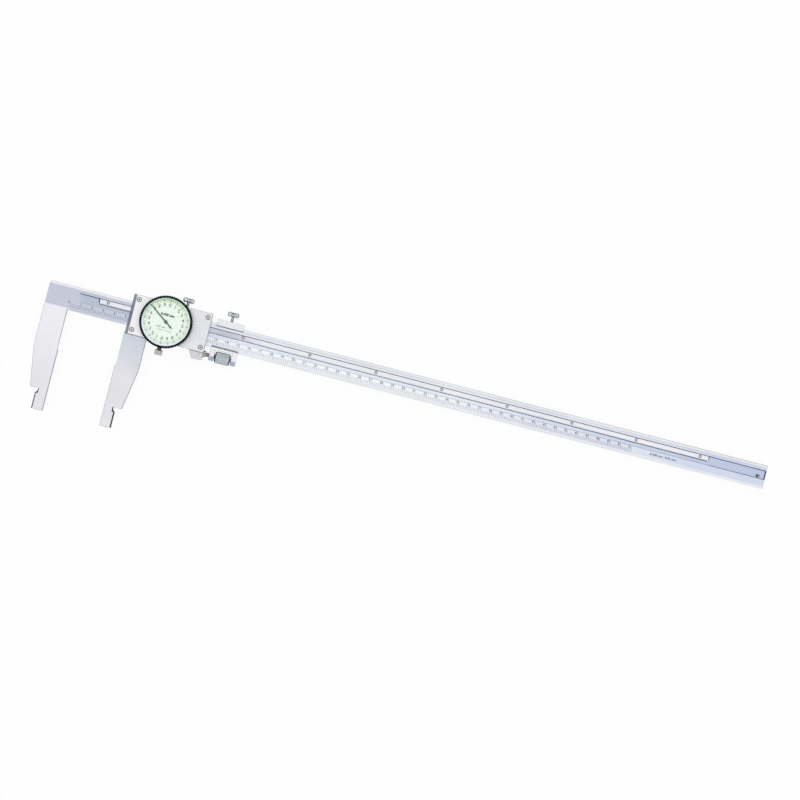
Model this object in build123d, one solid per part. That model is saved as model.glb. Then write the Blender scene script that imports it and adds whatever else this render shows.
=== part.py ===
from build123d import *
import math
import os

os.makedirs("parts", exist_ok=True)

# Dial caliper with a fine adjustment, lying on its back with the dial up.
# X runs along the beam towards larger readings, Y towards the beam's upper edge, away from the
# jaws, and Z out of the dial. The origin lies in the plane of the fixed measuring face, on the
# beam's centreline and on its back face. All lengths are in millimetres.

# Where the slider stands
opening = 50.7

# Cuts run this far past the faces they open
past = 1.0

# Beam and its rack groove
beam_width = 21.5
beam_thick = 6.0
beam_reach = 636.4
bevel_width = 2.4
bevel_depth = 0.8
groove_top = 6.0
groove_width = 8.1
groove_depth = 2.6
groove_start = 5.8
cutter_radius = 65.0
end_break = 0.6

# Jaws, measured from the measuring face and from the beam's centreline
jaw_width = 20.8
jaw_thick = 7.0
jaw_tip = 100.8
relief_depth = 0.8
relief_end = 45.8
taper_start = 46.8
shoulder_reach = 82.6
shoulder_width = 15.0
nib_width = 10.0
nib_round = 3.0
undercut_depth = 2.0
undercut_height = 2.6
undercut_slope = 1.6

# Running fits and seats
slide_gap = 0.05
shaft_gap = 0.04
seat_gap = 0.05
free_gap = 0.3

# Slider body
edge_offset = 1.3
body_length = 70.1
body_width = 35.2
back_wall = 2.45
gib_thick = 1.2
gib_inset = 2.0
gib_margin = 0.6
gib_screw_radius = 1.0
gib_screw_left = 11.4
gib_screw_right = 8.5
gib_screw_sunk = 0.4
lug_length = 12.9
lug_slant = 3.8
lug_drop = 6.8
lug_round = 1.2
joint_depth = 1.0

# Cover plate
cover_thick = 3.4
cover_bevel = 2.7
cover_bevel_land = 0.2
cover_break = 0.25
pad_inset = 1.6
screw_inset = 4.2
screw_left = 5.4
screw_right = 3.6

# Rack and gear train
rack_start = 24.2
rack_length = 558.0
rack_pitch = 1.25
rack_thick = 2.0
rack_gap = 0.5
rack_tip_drop = 4.8
pressure_angle = math.radians(30)
rack_pinion_teeth = 8
rack_pinion_addendum = 0.27
rack_pinion_dedendum = 0.5
rack_pinion_height = 1.9
wheel_teeth = 30
centre_teeth = 6
train_module = 0.5
train_addendum = 0.34
train_dedendum = 0.52
tooth_backlash = 0.08
wheel_thick = 0.5
wheel_lift = 0.3
wheel_spacing = 0.15
arbor_radius = 0.9
pivot_radius = 0.6
side_play = 0.1
scissor_ring_radius = 2.1
scissor_ring_width = 0.5
scissor_ring_thick = 0.3
scissor_ring_mouth = 0.8

# Dial case and bridge
dial_from_face = 33.8
dial_up = 0.3
case_radius = 19.6
case_wall = 1.0
case_floor = 0.8
case_height = 4.7
case_screw_circle = 14.5
case_screw_angles = (55, 160, 285)
pillar_circle = 15.5
pillar_angles = (90, 240)
pillar_radius = 1.6
bridge_thick = 0.8
bridge_gap = 2.6
bridge_clearance = 0.4

# Bezel, dial and pointer
bezel_radius = 22.7
bezel_lift = 0.7
bezel_height = 8.0
bezel_rim = 1.8
bezel_break = 0.6
knurl_count = 48
knurl_depth = 0.45
knurl_margin = 1.1
spring_lift = 2.4
spring_thick = 0.8
spring_depth = 0.45
spring_reach = 0.3
spring_mouth = 3.0
crystal_thick = 1.0
crystal_ledge = 0.4
crystal_sunk = 0.3
crystal_break = 0.3
dial_thick = 0.5
dial_lift = 0.4
dial_hole = 1.2
ring_slope = 0.7
ring_edge = 0.1
pointer_lift = 0.2
pointer_tip = 20.0
pointer_tail = 8.0
pointer_wide = 1.3
pointer_point = 0.4
pointer_thick = 0.25
pointer_hub = 1.3
pointer_hub_height = 1.0
pointer_angle = 144.0

# Thumb screws, measured over the wings
wing_span = 10.2
wing_height = 4.9
wing_thick = 2.8
wing_waist = 3.0
wing_break = 0.6
wing_collar_radius = 1.9
wing_collar_length = 1.2
thumb_stem = 1.15
tip_gap = 0.1
lock_from_face = 47.9
lock_head_up = 23.3
clamp_head_up = 21.0

# Fine adjustment
clamp_gap = 5.3
clamp_length = 23.8
clamp_up = 14.6
clamp_lip = 8.4
clamp_low_lip = 0.9
clamp_front = 7.2
clamp_shoe_thick = 1.2
clamp_shoe_inset = 1.0
web_drop = 12.4
cheek_drop = 22.6
cheek_width = 4.4
cheek_bevel = 3.1
fine_axis_drop = 18.3
fine_axis_height = 3.4
fine_radius = 2.0
fine_end_inset = 4.4
fine_screw_break = 0.4
collar_length = 2.3
collar_radius = 3.0
nut_radius = 5.6
nut_chamfer = 0.9
nut_flutes = 20
flute_depth = 0.3

# Bezel clamp
knob_radius = 3.6
knob_taper = 0.35
knob_break = 0.5
knob_length = 5.0
knob_stem = 1.2
knob_hold = 5.0
shoe_width = 4.8
shoe_wall = 1.4
shoe_height = 5.2

# Small screws
cover_head_radius = 2.0
cover_head_height = 1.2
cover_head_sunk = 0.1
cover_shank_radius = 1.2
cover_screw_bite = 6.0
rack_screw_radius = 1.3
rack_screw_first = 31.9
rack_screw_pitch = 60.2
rack_screw_depth = 1.5
small_head_radius = 1.2
small_head_height = 0.7
small_shank_radius = 0.7
small_screw_bite = 1.9
stop_from_end = 6.4
stop_radius = 1.25
stop_shank = 0.9
stop_proud = 0.9
slot_width = 0.5
slot_depth = 0.5

# Places that follow from the sizes above
half_beam = beam_width / 2
half_body = body_width / 2
jaw_low = (beam_thick - jaw_thick) / 2
jaw_high = (beam_thick + jaw_thick) / 2
groove_floor = beam_thick - groove_depth
body_left = opening + edge_offset
body_right = body_left + body_length
body_low = -slide_gap - back_wall
cover_low = jaw_high
cover_high = cover_low + cover_thick
gib_low = half_beam + slide_gap
gib_high = gib_low + gib_thick
channel_low = -half_beam - slide_gap
pad_low = beam_thick + slide_gap
rack_pinion_radius = rack_pinion_teeth * rack_pitch / (2 * math.pi)
rack_height = rack_pitch / (2 * math.tan(pressure_angle))
rack_tip = groove_top - rack_tip_drop
rack_pitch_line = rack_tip + rack_height / 2
rack_back = groove_top - rack_gap
train_distance = train_module * (wheel_teeth + centre_teeth) / 2
pinion_low = groove_floor + side_play
dial_x = opening + dial_from_face
dial_y = dial_up
pinion_y = rack_pitch_line - rack_pinion_radius
pinion_x = dial_x + math.sqrt(train_distance ** 2 - (dial_y - pinion_y) ** 2)
case_low = cover_high
floor_high = case_low + case_floor
bridge_low = floor_high + bridge_gap
bridge_high = bridge_low + bridge_thick
case_high = case_low + case_height
bezel_low = cover_high + bezel_lift
bezel_high = bezel_low + bezel_height
dial_low = case_high + dial_lift
dial_high = dial_low + dial_thick
pointer_low = dial_high + pointer_lift
crystal_high = bezel_high - crystal_sunk
crystal_low = crystal_high - crystal_thick
bezel_bore = bezel_radius - bezel_rim
spring_low = case_low + spring_lift
spring_high = spring_low + spring_thick
clamp_x0 = body_right + clamp_gap
clamp_x1 = clamp_x0 + clamp_length
clamp_middle = (clamp_x0 + clamp_x1) / 2
fine_y = -fine_axis_drop
wheel_low = floor_high + wheel_lift
scissor_low = wheel_low + wheel_thick + wheel_spacing
scissor_high = scissor_low + wheel_thick
mid_height = beam_thick / 2
knob_level = (cover_low + cover_high) / 2
shoe_near = -half_body - seat_gap
shoe_rim = dial_y - bezel_radius - free_gap
shoe_far = shoe_rim - shoe_wall


def save(name, shape):
    export_step(shape, "parts/" + name + ".step")


def block(x_low, x_high, y_low, y_high, z_low, z_high):
    middle = Pos((x_low + x_high) / 2, (y_low + y_high) / 2, (z_low + z_high) / 2)
    return middle * Box(x_high - x_low, y_high - y_low, z_high - z_low)


def plate(points, z_low, z_high):
    outline = Pos(0, 0, z_low) * Polygon(*points, align=None)
    return extrude(outline, z_high - z_low, dir=(0, 0, 1))


def rod_z(x, y, radius, z_low, z_high):
    return Pos(x, y, (z_low + z_high) / 2) * Cylinder(radius, z_high - z_low)


def rod_y(x, z, radius, y_low, y_high):
    return Pos(x, (y_low + y_high) / 2, z) * Rot(90, 0, 0) * Cylinder(radius, y_high - y_low)


def rod_x(y, z, radius, x_low, x_high):
    return Pos((x_low + x_high) / 2, y, z) * Rot(0, 90, 0) * Cylinder(radius, x_high - x_low)


def turned(profile):
    # A profile of radius and height, turned about the vertical through the origin
    return revolve(Plane.XZ * Polygon(*profile, align=None), Axis.Z)


def cap_screw(x, y, z_top, head_radius, head_height, shank_radius, z_bottom):
    # Cheese-head screw standing along Z
    head = rod_z(x, y, head_radius, z_top - head_height, z_top)
    return head + rod_z(x, y, shank_radius, z_bottom, z_top - head_height)


def slotted(screw, x, y, z_top, head_radius):
    return screw - block(x - head_radius, x + head_radius, y - slot_width / 2,
                         y + slot_width / 2, z_top - slot_depth, z_top + past)


# Beam with the fixed jaw

def jaw_outline(face, side, top):
    # The jaw seen from the dial side: side is -1 for the fixed jaw and 1 for the sliding one
    nib_top = -shoulder_reach - undercut_height
    steps = [
        (relief_depth, top),
        (relief_depth, -relief_end),
        (0, -relief_end),
        (0, -jaw_tip),
        (nib_width, -jaw_tip),
        (nib_width, nib_top - undercut_slope),
        (nib_width - undercut_depth, nib_top),
        (nib_width - undercut_depth, -shoulder_reach),
        (shoulder_width, -shoulder_reach),
        (jaw_width, -taper_start),
        (jaw_width, top),
    ]
    return [(face + side * across, along) for across, along in steps]


def round_nib(solid, face, side):
    # The nib's outer edge is rounded, for measuring inside bores
    centre_x = face + side * (nib_width - nib_round)
    edge_x = face + side * nib_width
    near, far = sorted((centre_x, edge_x))
    low, high = jaw_low + nib_round, jaw_high - nib_round
    strip = block(near, far, -jaw_tip - past, -shoulder_reach, jaw_low - past, jaw_high + past)
    kept = block(near, far, -jaw_tip - 2 * past, -shoulder_reach + past, low, high)
    for level in (low, high):
        kept += rod_y(centre_x, level, nib_round, -jaw_tip - 2 * past, -shoulder_reach + past)
    return solid - (strip - kept)


def rack_screw_places():
    count = int((rack_start + rack_length - rack_screw_first) / rack_screw_pitch) + 1
    middle = (rack_back + rack_tip + rack_height) / 2
    return [(rack_screw_first + i * rack_screw_pitch, middle) for i in range(count)]


def make_beam():
    section = Polygon(
        (-half_beam, 0), (half_beam, 0), (half_beam, beam_thick - bevel_depth),
        (half_beam - bevel_width, beam_thick), (-half_beam + bevel_width, beam_thick),
        (-half_beam, beam_thick - bevel_depth), align=None)
    bar = Pos(-jaw_width, 0, 0) * extrude(Plane.YZ * section, beam_reach + jaw_width)
    right = bar.faces().sort_by(Axis.X)[-1]
    bar = chamfer(right.edges().sort_by(Axis.Z)[-1], end_break)
    jaw = plate(jaw_outline(0, -1, -half_beam + bevel_width), jaw_low, jaw_high)
    beam = bar + round_nib(jaw, 0, -1)
    ramp = math.sqrt(2 * cutter_radius * groove_depth - groove_depth ** 2)
    full = groove_start + ramp
    groove_low = groove_top - groove_width
    beam -= block(full, beam_reach + past, groove_low, groove_top, groove_floor, beam_thick + past)
    beam -= rod_y(full, groove_floor + cutter_radius, cutter_radius, groove_low, groove_top)
    hole_low = groove_floor - rack_screw_depth - seat_gap
    for x, y in rack_screw_places():
        beam -= rod_z(x, y, rack_screw_radius + seat_gap, hole_low, groove_floor + past)
    beam -= rod_z(beam_reach - stop_from_end, 0, stop_shank + seat_gap, hole_low,
                  groove_floor + past)
    return beam


def make_rack():
    # V-shaped teeth along the strip's lower edge, facing the pinion
    teeth = int(rack_length / rack_pitch)
    root = rack_tip + rack_height
    points = [(rack_start, rack_back), (rack_start, root)]
    for i in range(teeth):
        points.append((rack_start + (i + 0.5) * rack_pitch, rack_tip))
        points.append((rack_start + (i + 1) * rack_pitch, root))
    points.append((rack_start + teeth * rack_pitch, rack_back))
    strip = plate(points, groove_floor, groove_floor + rack_thick)
    for x, y in rack_screw_places():
        strip -= rod_z(x, y, rack_screw_radius + seat_gap, groove_floor - past, beam_thick)
    return strip


def make_rack_screws():
    # Headless screws, flush with the rack
    return Compound(children=[
        rod_z(x, y, rack_screw_radius, groove_floor - rack_screw_depth, groove_floor + rack_thick)
        for x, y in rack_screw_places()])


def make_stop_screw():
    x = beam_reach - stop_from_end
    top = beam_thick + stop_proud
    screw = cap_screw(x, 0, top, stop_radius, top - groove_floor, stop_shank,
                      groove_floor - rack_screw_depth)
    return slotted(screw, x, 0, top, stop_radius)


# Slider

def cover_screw_places():
    across = half_body - screw_inset
    left = body_left + screw_left
    right = body_right - screw_right
    return [(x, y) for x in (left, right) for y in (-across, across)]


def gib_screw_places():
    return [body_left + gib_screw_left, body_right - gib_screw_right]


def make_slider_body():
    body = block(body_left, body_right, -half_body, half_body, body_low, jaw_high)
    body -= block(body_left - past, body_right + past, channel_low, gib_high + seat_gap,
                  -slide_gap, jaw_high + past)
    lug_top = -half_body + joint_depth
    jaw = plate(jaw_outline(opening, 1, lug_top), jaw_low, jaw_high)
    lug_base = -half_body - lug_drop
    lug_left = body_right - lug_length
    lug = plate([
        (lug_left, lug_top), (lug_left, -half_body), (lug_left + lug_slant, lug_base),
        (body_right, lug_base), (body_right, lug_top)], jaw_low, jaw_high)
    corner = lug.edges().filter_by(Axis.Z).sort_by(Axis.X)[-2:].sort_by(Axis.Y)[0]
    lug = fillet(corner, lug_round)
    body = body + round_nib(jaw, opening, 1) + lug
    for x, y in cover_screw_places():
        body -= rod_z(x, y, cover_shank_radius + seat_gap,
                      jaw_high - cover_screw_bite - seat_gap, jaw_high + past)
    for x in gib_screw_places():
        body -= rod_y(x, mid_height, gib_screw_radius + seat_gap, gib_high, half_body + past)
    body -= rod_y(opening + lock_from_face, mid_height, thumb_stem + shaft_gap,
                  gib_high, half_body + past)
    body -= rod_x(fine_y, fine_axis_height, fine_radius + seat_gap,
                  lug_left, body_right + past)
    return body


def make_gib():
    return block(body_left + gib_inset, body_right - gib_inset, gib_low, gib_high,
                 gib_margin, beam_thick - gib_margin)


def make_gib_screws():
    end = half_body - gib_screw_sunk
    screws = []
    for x in gib_screw_places():
        screw = rod_y(x, mid_height, gib_screw_radius, gib_high, end)
        slot = block(x - gib_screw_radius, x + gib_screw_radius, end - slot_depth, end + past,
                     mid_height - slot_width / 2, mid_height + slot_width / 2)
        screws.append(screw - slot)
    return Compound(children=screws)


def make_cover_plate():
    profile = Polygon(
        (body_left, cover_low), (body_right, cover_low), (body_right, cover_high - cover_break),
        (body_right - cover_break, cover_high), (body_left + cover_bevel, cover_high),
        (body_left, cover_low + cover_bevel_land), align=None)
    cover = Pos(0, half_body, 0) * extrude(Plane.XZ * profile, body_width)
    top = cover.faces().sort_by(Axis.Z)[-1]
    cover = chamfer(top.edges().filter_by(Axis.X), cover_break)
    pad_half = half_beam - bevel_width
    cover += block(body_left + pad_inset, body_right - pad_inset, -pad_half, pad_half,
                   pad_low, cover_low)
    for x, y in cover_screw_places():
        cover -= rod_z(x, y, cover_shank_radius + seat_gap, cover_low - past, cover_high)
        cover -= rod_z(x, y, cover_head_radius + 4 * seat_gap,
                       cover_high - cover_head_sunk - cover_head_height, cover_high + past)
    for x, y in case_screw_places():
        cover -= rod_z(x, y, small_shank_radius + seat_gap,
                       floor_high - small_screw_bite - case_floor - seat_gap, cover_high + past)
    cover -= rod_z(pinion_x, pinion_y, arbor_radius + shaft_gap, pad_low - past, cover_high + past)
    cover -= rod_y(dial_x, knob_level, knob_stem + shaft_gap, -half_body - past,
                   -half_body + knob_hold)
    return cover


def make_cover_screws():
    top = cover_high - cover_head_sunk
    screws = []
    for x, y in cover_screw_places():
        screw = cap_screw(x, y, top, cover_head_radius, cover_head_height,
                          cover_shank_radius, jaw_high - cover_screw_bite)
        screws.append(slotted(screw, x, y, top, cover_head_radius))
    return Compound(children=screws)


# Thumb screws

def make_wing_screw(x, head_y, tip_y):
    # Two round wings with a waist between them, on a stem along Y
    lobe = wing_height / 2
    reach = wing_span / 2 - lobe
    wing = Pos(x, head_y) * (Pos(-reach, 0) * Circle(lobe) + Pos(reach, 0) * Circle(lobe)
                             + Rectangle(2 * reach, wing_waist))
    head = extrude(wing, wing_thick)
    faces = head.faces().sort_by(Axis.Z)
    head = chamfer(faces[0].edges() + faces[-1].edges(), wing_break)
    head = Pos(0, 0, mid_height - wing_thick / 2) * head
    base_y = head_y - wing_waist / 2
    collar = rod_y(x, mid_height, wing_collar_radius, base_y - wing_collar_length, head_y)
    stem = rod_y(x, mid_height, thumb_stem, tip_y, head_y)
    return head + collar + stem


def make_slider_lock_screw():
    return make_wing_screw(opening + lock_from_face, lock_head_up, gib_high + tip_gap)


def make_clamp_lock_screw():
    shoe_high = half_beam + slide_gap + clamp_shoe_thick
    return make_wing_screw(clamp_middle, clamp_head_up, shoe_high + tip_gap)


# Gear train

def involute(angle):
    return math.tan(angle) - angle


def gear_outline(teeth, pitch_radius, addendum, dedendum, phase, steps):
    # Involute teeth; phase is the direction of one tooth's middle
    base = pitch_radius * math.cos(pressure_angle)
    tip = pitch_radius + addendum
    root = pitch_radius - dedendum
    half = (math.pi * pitch_radius / teeth - tooth_backlash) / 2 / pitch_radius
    start = max(base, root)
    radii = [start + (tip - start) * i / steps for i in range(steps + 1)]
    flank = []
    for radius in radii:
        lean = involute(math.acos(min(1, base / radius)))
        flank.append((radius, max(half + involute(pressure_angle) - lean, 0.004)))
    if root < start - 0.05:
        flank.insert(0, (root, flank[0][1]))
    points = []
    for i in range(teeth):
        middle = phase + 2 * math.pi * i / teeth
        sides = [(r, middle - a) for r, a in flank] + [(r, middle + a) for r, a in flank[::-1]]
        points += [(r * math.cos(a), r * math.sin(a)) for r, a in sides]
    return points


def gear_plate(x, y, outline, z_low, z_high):
    return plate([(x + px, y + py) for px, py in outline], z_low, z_high)


def wheel_direction():
    # From the wheel's axis towards the centre pinion's
    return math.atan2(dial_y - pinion_y, dial_x - pinion_x)


def make_rack_pinion():
    # The pinion meets the rack above it: one of its teeth stands in a space of the rack
    space = rack_start + rack_pitch * round((pinion_x - rack_start) / rack_pitch)
    phase = math.pi / 2 + (pinion_x - space) / rack_pinion_radius
    outline = gear_outline(rack_pinion_teeth, rack_pinion_radius, rack_pinion_addendum,
                           rack_pinion_dedendum, phase, 2)
    pinion = gear_plate(pinion_x, pinion_y, outline, pinion_low, pinion_low + rack_pinion_height)
    arbor = rod_z(pinion_x, pinion_y, arbor_radius, pinion_low,
                  scissor_high + scissor_ring_thick + side_play)
    pivot = rod_z(pinion_x, pinion_y, pivot_radius, pinion_low, bridge_high - side_play)
    return pinion + arbor + pivot


def make_wheel(low):
    outline = gear_outline(wheel_teeth, wheel_teeth * train_module / 2, train_addendum,
                           train_dedendum, wheel_direction(), 1)
    wheel = gear_plate(pinion_x, pinion_y, outline, low, low + wheel_thick)
    return wheel - rod_z(pinion_x, pinion_y, arbor_radius, low - past, low + wheel_thick + past)


def make_drive_wheel():
    return make_wheel(wheel_low)


def make_scissor_wheel():
    return make_wheel(scissor_low)


def make_scissor_spring():
    # Open ring that pushes the two wheels apart and takes up the play
    high = scissor_high + scissor_ring_thick
    ring = rod_z(pinion_x, pinion_y, scissor_ring_radius, scissor_high, high)
    ring -= rod_z(pinion_x, pinion_y, scissor_ring_radius - scissor_ring_width,
                  scissor_high - past, high + past)
    return ring - block(pinion_x, pinion_x + 2 * scissor_ring_radius,
                        pinion_y - scissor_ring_mouth / 2, pinion_y + scissor_ring_mouth / 2,
                        scissor_high - past, high + past)


def make_centre_pinion():
    phase = wheel_direction() + math.pi + math.pi / centre_teeth
    radius = centre_teeth * train_module / 2
    outline = gear_outline(centre_teeth, radius, train_addendum, train_dedendum, phase, 2)
    pinion = gear_plate(dial_x, dial_y, outline, wheel_low - side_play, scissor_high + side_play)
    staff = rod_z(dial_x, dial_y, pivot_radius, case_low + side_play,
                  pointer_low + pointer_hub_height + side_play)
    return pinion + staff


# Dial case and bridge

def around_dial(radius, degrees):
    angle = math.radians(degrees)
    return dial_x + radius * math.cos(angle), dial_y + radius * math.sin(angle)


def case_screw_places():
    return [around_dial(case_screw_circle, angle) for angle in case_screw_angles]


def pillar_places():
    return [around_dial(pillar_circle, angle) for angle in pillar_angles]


def make_dial_case():
    # Cup with a groove for the bezel's spring and two pillars for the bridge
    groove_bottom = spring_low - seat_gap
    groove_wall = case_radius - spring_depth - seat_gap
    profile = [
        (0, case_low), (case_radius, case_low), (case_radius, groove_bottom),
        (groove_wall, groove_bottom), (groove_wall, spring_high + seat_gap),
        (case_radius, spring_high + seat_gap), (case_radius, case_high),
        (case_radius - case_wall, case_high), (case_radius - case_wall, floor_high),
        (0, floor_high)]
    case = Pos(dial_x, dial_y, 0) * turned(profile)
    case -= rod_z(pinion_x, pinion_y, arbor_radius + free_gap, case_low - past, floor_high + past)
    case -= rod_z(dial_x, dial_y, pivot_radius + shaft_gap, case_low - past, floor_high + past)
    for x, y in case_screw_places():
        case -= rod_z(x, y, small_shank_radius + seat_gap, case_low - past, floor_high + past)
    for x, y in pillar_places():
        case += rod_z(x, y, pillar_radius, floor_high, bridge_low)
        case -= rod_z(x, y, small_shank_radius + seat_gap,
                      bridge_low - small_screw_bite - seat_gap, bridge_low + past)
    return case


def make_case_screws():
    # They pass the case's floor and bite in the cover plate
    return Compound(children=[
        cap_screw(x, y, floor_high + small_head_height, small_head_radius, small_head_height,
                  small_shank_radius, floor_high - case_floor - small_screw_bite)
        for x, y in case_screw_places()])


def make_train_bridge():
    radius = case_radius - case_wall - bridge_clearance
    bridge = rod_z(dial_x, dial_y, radius, bridge_low, bridge_high)
    for x, y in ((pinion_x, pinion_y), (dial_x, dial_y)):
        bridge -= rod_z(x, y, pivot_radius + shaft_gap, bridge_low - past, bridge_high + past)
    for x, y in pillar_places():
        bridge -= rod_z(x, y, small_shank_radius + seat_gap, bridge_low - past, bridge_high + past)
    return bridge


def make_bridge_screws():
    return Compound(children=[
        cap_screw(x, y, bridge_high + small_head_height, small_head_radius, small_head_height,
                  small_shank_radius, bridge_low - small_screw_bite)
        for x, y in pillar_places()])


# Bezel, dial and pointer

def make_bezel():
    bore = case_radius + slide_gap
    groove_wall = bore + spring_reach
    wall = bezel_radius - knurl_depth
    seat = bezel_bore + crystal_ledge
    profile = [
        (bore, bezel_low), (wall - bezel_break, bezel_low), (wall, bezel_low + bezel_break),
        (wall, bezel_high - bezel_break), (wall - bezel_break / 2, bezel_high),
        (seat, bezel_high), (seat, crystal_low), (bezel_bore, crystal_low),
        (bezel_bore, dial_low), (bore, dial_low), (bore, spring_high + 2 * seat_gap),
        (groove_wall, spring_high + 2 * seat_gap), (groove_wall, spring_low - 2 * seat_gap),
        (bore, spring_low - 2 * seat_gap)]
    ring = turned(profile)
    points = []
    for i in range(knurl_count):
        for share, radius in ((-0.5, wall), (0, bezel_radius)):
            angle = 2 * math.pi * (i + share) / knurl_count
            points.append((radius * math.cos(angle), radius * math.sin(angle)))
    knurl = plate(points, bezel_low + knurl_margin, bezel_high - knurl_margin)
    knurl -= rod_z(0, 0, wall - knurl_depth, bezel_low, bezel_high)
    return Pos(dial_x, dial_y, 0) * (ring + knurl)


def make_bezel_spring():
    # Open ring in the case's groove that holds the bezel on and gives it its drag
    ring = rod_z(dial_x, dial_y, case_radius + spring_reach - seat_gap, spring_low, spring_high)
    ring -= rod_z(dial_x, dial_y, case_radius - spring_depth, spring_low - past, spring_high + past)
    return ring - block(dial_x - spring_mouth / 2, dial_x + spring_mouth / 2, dial_y,
                        dial_y + 2 * case_radius, spring_low - past, spring_high + past)


def make_dial_face():
    face = rod_z(dial_x, dial_y, bezel_bore - seat_gap, dial_low, dial_high)
    return face - rod_z(dial_x, dial_y, dial_hole, dial_low - past, dial_high + past)


def make_dial_ring():
    # Bright sloping ring between the dial and the crystal
    outer = bezel_bore - seat_gap
    profile = [(outer - ring_slope, dial_high), (outer, dial_high), (outer, crystal_low),
               (outer - ring_edge, crystal_low)]
    return Pos(dial_x, dial_y, 0) * turned(profile)


def make_crystal():
    radius = bezel_bore + crystal_ledge - seat_gap
    profile = [(0, crystal_low), (radius, crystal_low), (radius, crystal_high - crystal_break),
               (radius - 2 * crystal_break, crystal_high), (0, crystal_high)]
    return Pos(dial_x, dial_y, 0) * turned(profile)


def make_pointer():
    blade_low = pointer_low + (pointer_hub_height - pointer_thick) / 2
    blade = plate([
        (-pointer_tail, -pointer_wide / 2), (pointer_tip, -pointer_point / 2),
        (pointer_tip, pointer_point / 2), (-pointer_tail, pointer_wide / 2)],
        blade_low, blade_low + pointer_thick)
    high = pointer_low + pointer_hub_height
    hub = rod_z(0, 0, pointer_hub, pointer_low, high)
    hand = hub + blade - rod_z(0, 0, pivot_radius, pointer_low - past, high + past)
    return Pos(dial_x, dial_y, 0) * Rot(0, 0, pointer_angle) * hand


# Bezel clamp

def make_bezel_clamp_shoe():
    # Brass hook outside the bezel's rim, drawn in by the clamp screw
    half = shoe_width / 2
    low = cover_low + side_play
    foot = block(dial_x - half, dial_x + half, shoe_far, shoe_near, low, cover_high)
    hook = block(dial_x - half, dial_x + half, shoe_far, shoe_rim, cover_high, low + shoe_height)
    return foot + hook - rod_y(dial_x, knob_level, knob_stem + shaft_gap, shoe_far - past,
                               shoe_near + past)


def make_bezel_clamp_screw():
    start = shoe_far - side_play
    end = start - knob_length
    profile = Polygon(
        (0, start), (knob_radius - knob_taper, start), (knob_radius, end + knob_break),
        (knob_radius - knob_break, end), (0, end), align=None)
    knob = Pos(dial_x, 0, knob_level) * revolve(profile, Axis.Y)
    return knob + rod_y(dial_x, knob_level, knob_stem, start, -half_body + knob_hold - tip_gap)


# Fine adjustment

def make_fine_clamp():
    low = body_low
    shoe_top = half_beam + slide_gap + clamp_shoe_thick + seat_gap
    clamp = block(clamp_x0, clamp_x1, -web_drop, clamp_up, low, clamp_front)
    clamp -= block(clamp_x0 - past, clamp_x1 + past, channel_low, shoe_top, -slide_gap, pad_low)
    clamp -= block(clamp_x0 - past, clamp_x1 + past, -half_beam + clamp_low_lip, clamp_lip,
                   mid_height, clamp_front + past)
    cheek = Polygon(
        (-cheek_drop, jaw_low), (channel_low, jaw_low), (channel_low, clamp_front),
        (-cheek_drop + cheek_bevel, clamp_front), (-cheek_drop, clamp_front - cheek_bevel),
        align=None)
    for x in (clamp_x0, clamp_x1 - cheek_width):
        clamp += Pos(x, 0, 0) * extrude(Plane.YZ * cheek, cheek_width)
    clamp -= rod_x(fine_y, fine_axis_height, fine_radius + free_gap, clamp_x0 - past, clamp_x1 + past)
    clamp -= rod_y(clamp_middle, mid_height, thumb_stem + shaft_gap, shoe_top - past, clamp_up + past)
    return clamp


def make_clamp_shoe():
    low = half_beam + slide_gap
    return block(clamp_x0 + clamp_shoe_inset, clamp_x1 - clamp_shoe_inset, low,
                 low + clamp_shoe_thick, gib_margin, beam_thick - gib_margin)


def make_fine_screw():
    start = body_right - lug_length + 2 * lug_slant
    screw = rod_x(fine_y, fine_axis_height, fine_radius, start, clamp_x1 - fine_end_inset)
    return chamfer(screw.edges().sort_by(Axis.X)[-1], fine_screw_break)


def make_fine_screw_collar():
    start = body_right
    end = start + collar_length
    collar = rod_x(fine_y, fine_axis_height, collar_radius, start, end)
    return collar - rod_x(fine_y, fine_axis_height, fine_radius, start - past, end + past)


def make_fine_nut():
    start = clamp_x0 + cheek_width + slide_gap
    end = clamp_x1 - cheek_width - slide_gap
    points = []
    for i in range(nut_flutes):
        for share, radius in ((-0.5, nut_radius - flute_depth), (0, nut_radius)):
            angle = 2 * math.pi * (i + share) / nut_flutes
            points.append((radius * math.cos(angle), radius * math.sin(angle)))
    body = extrude(Plane.YZ * Polygon(*points, align=None), end - start)
    ends = Plane.XZ * Polygon(
        (0, 0), (0, nut_radius - nut_chamfer), (nut_chamfer, nut_radius + 0.01),
        (end - start - nut_chamfer, nut_radius + 0.01), (end - start, nut_radius - nut_chamfer),
        (end - start, 0), align=None)
    body = body & revolve(ends, Axis.X)
    bore = Pos((end - start) / 2, 0, 0) * Rot(0, 90, 0) * Cylinder(fine_radius + shaft_gap,
                                                                   end - start + 2 * past)
    return Pos(start, fine_y, fine_axis_height) * (body - bore)


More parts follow.
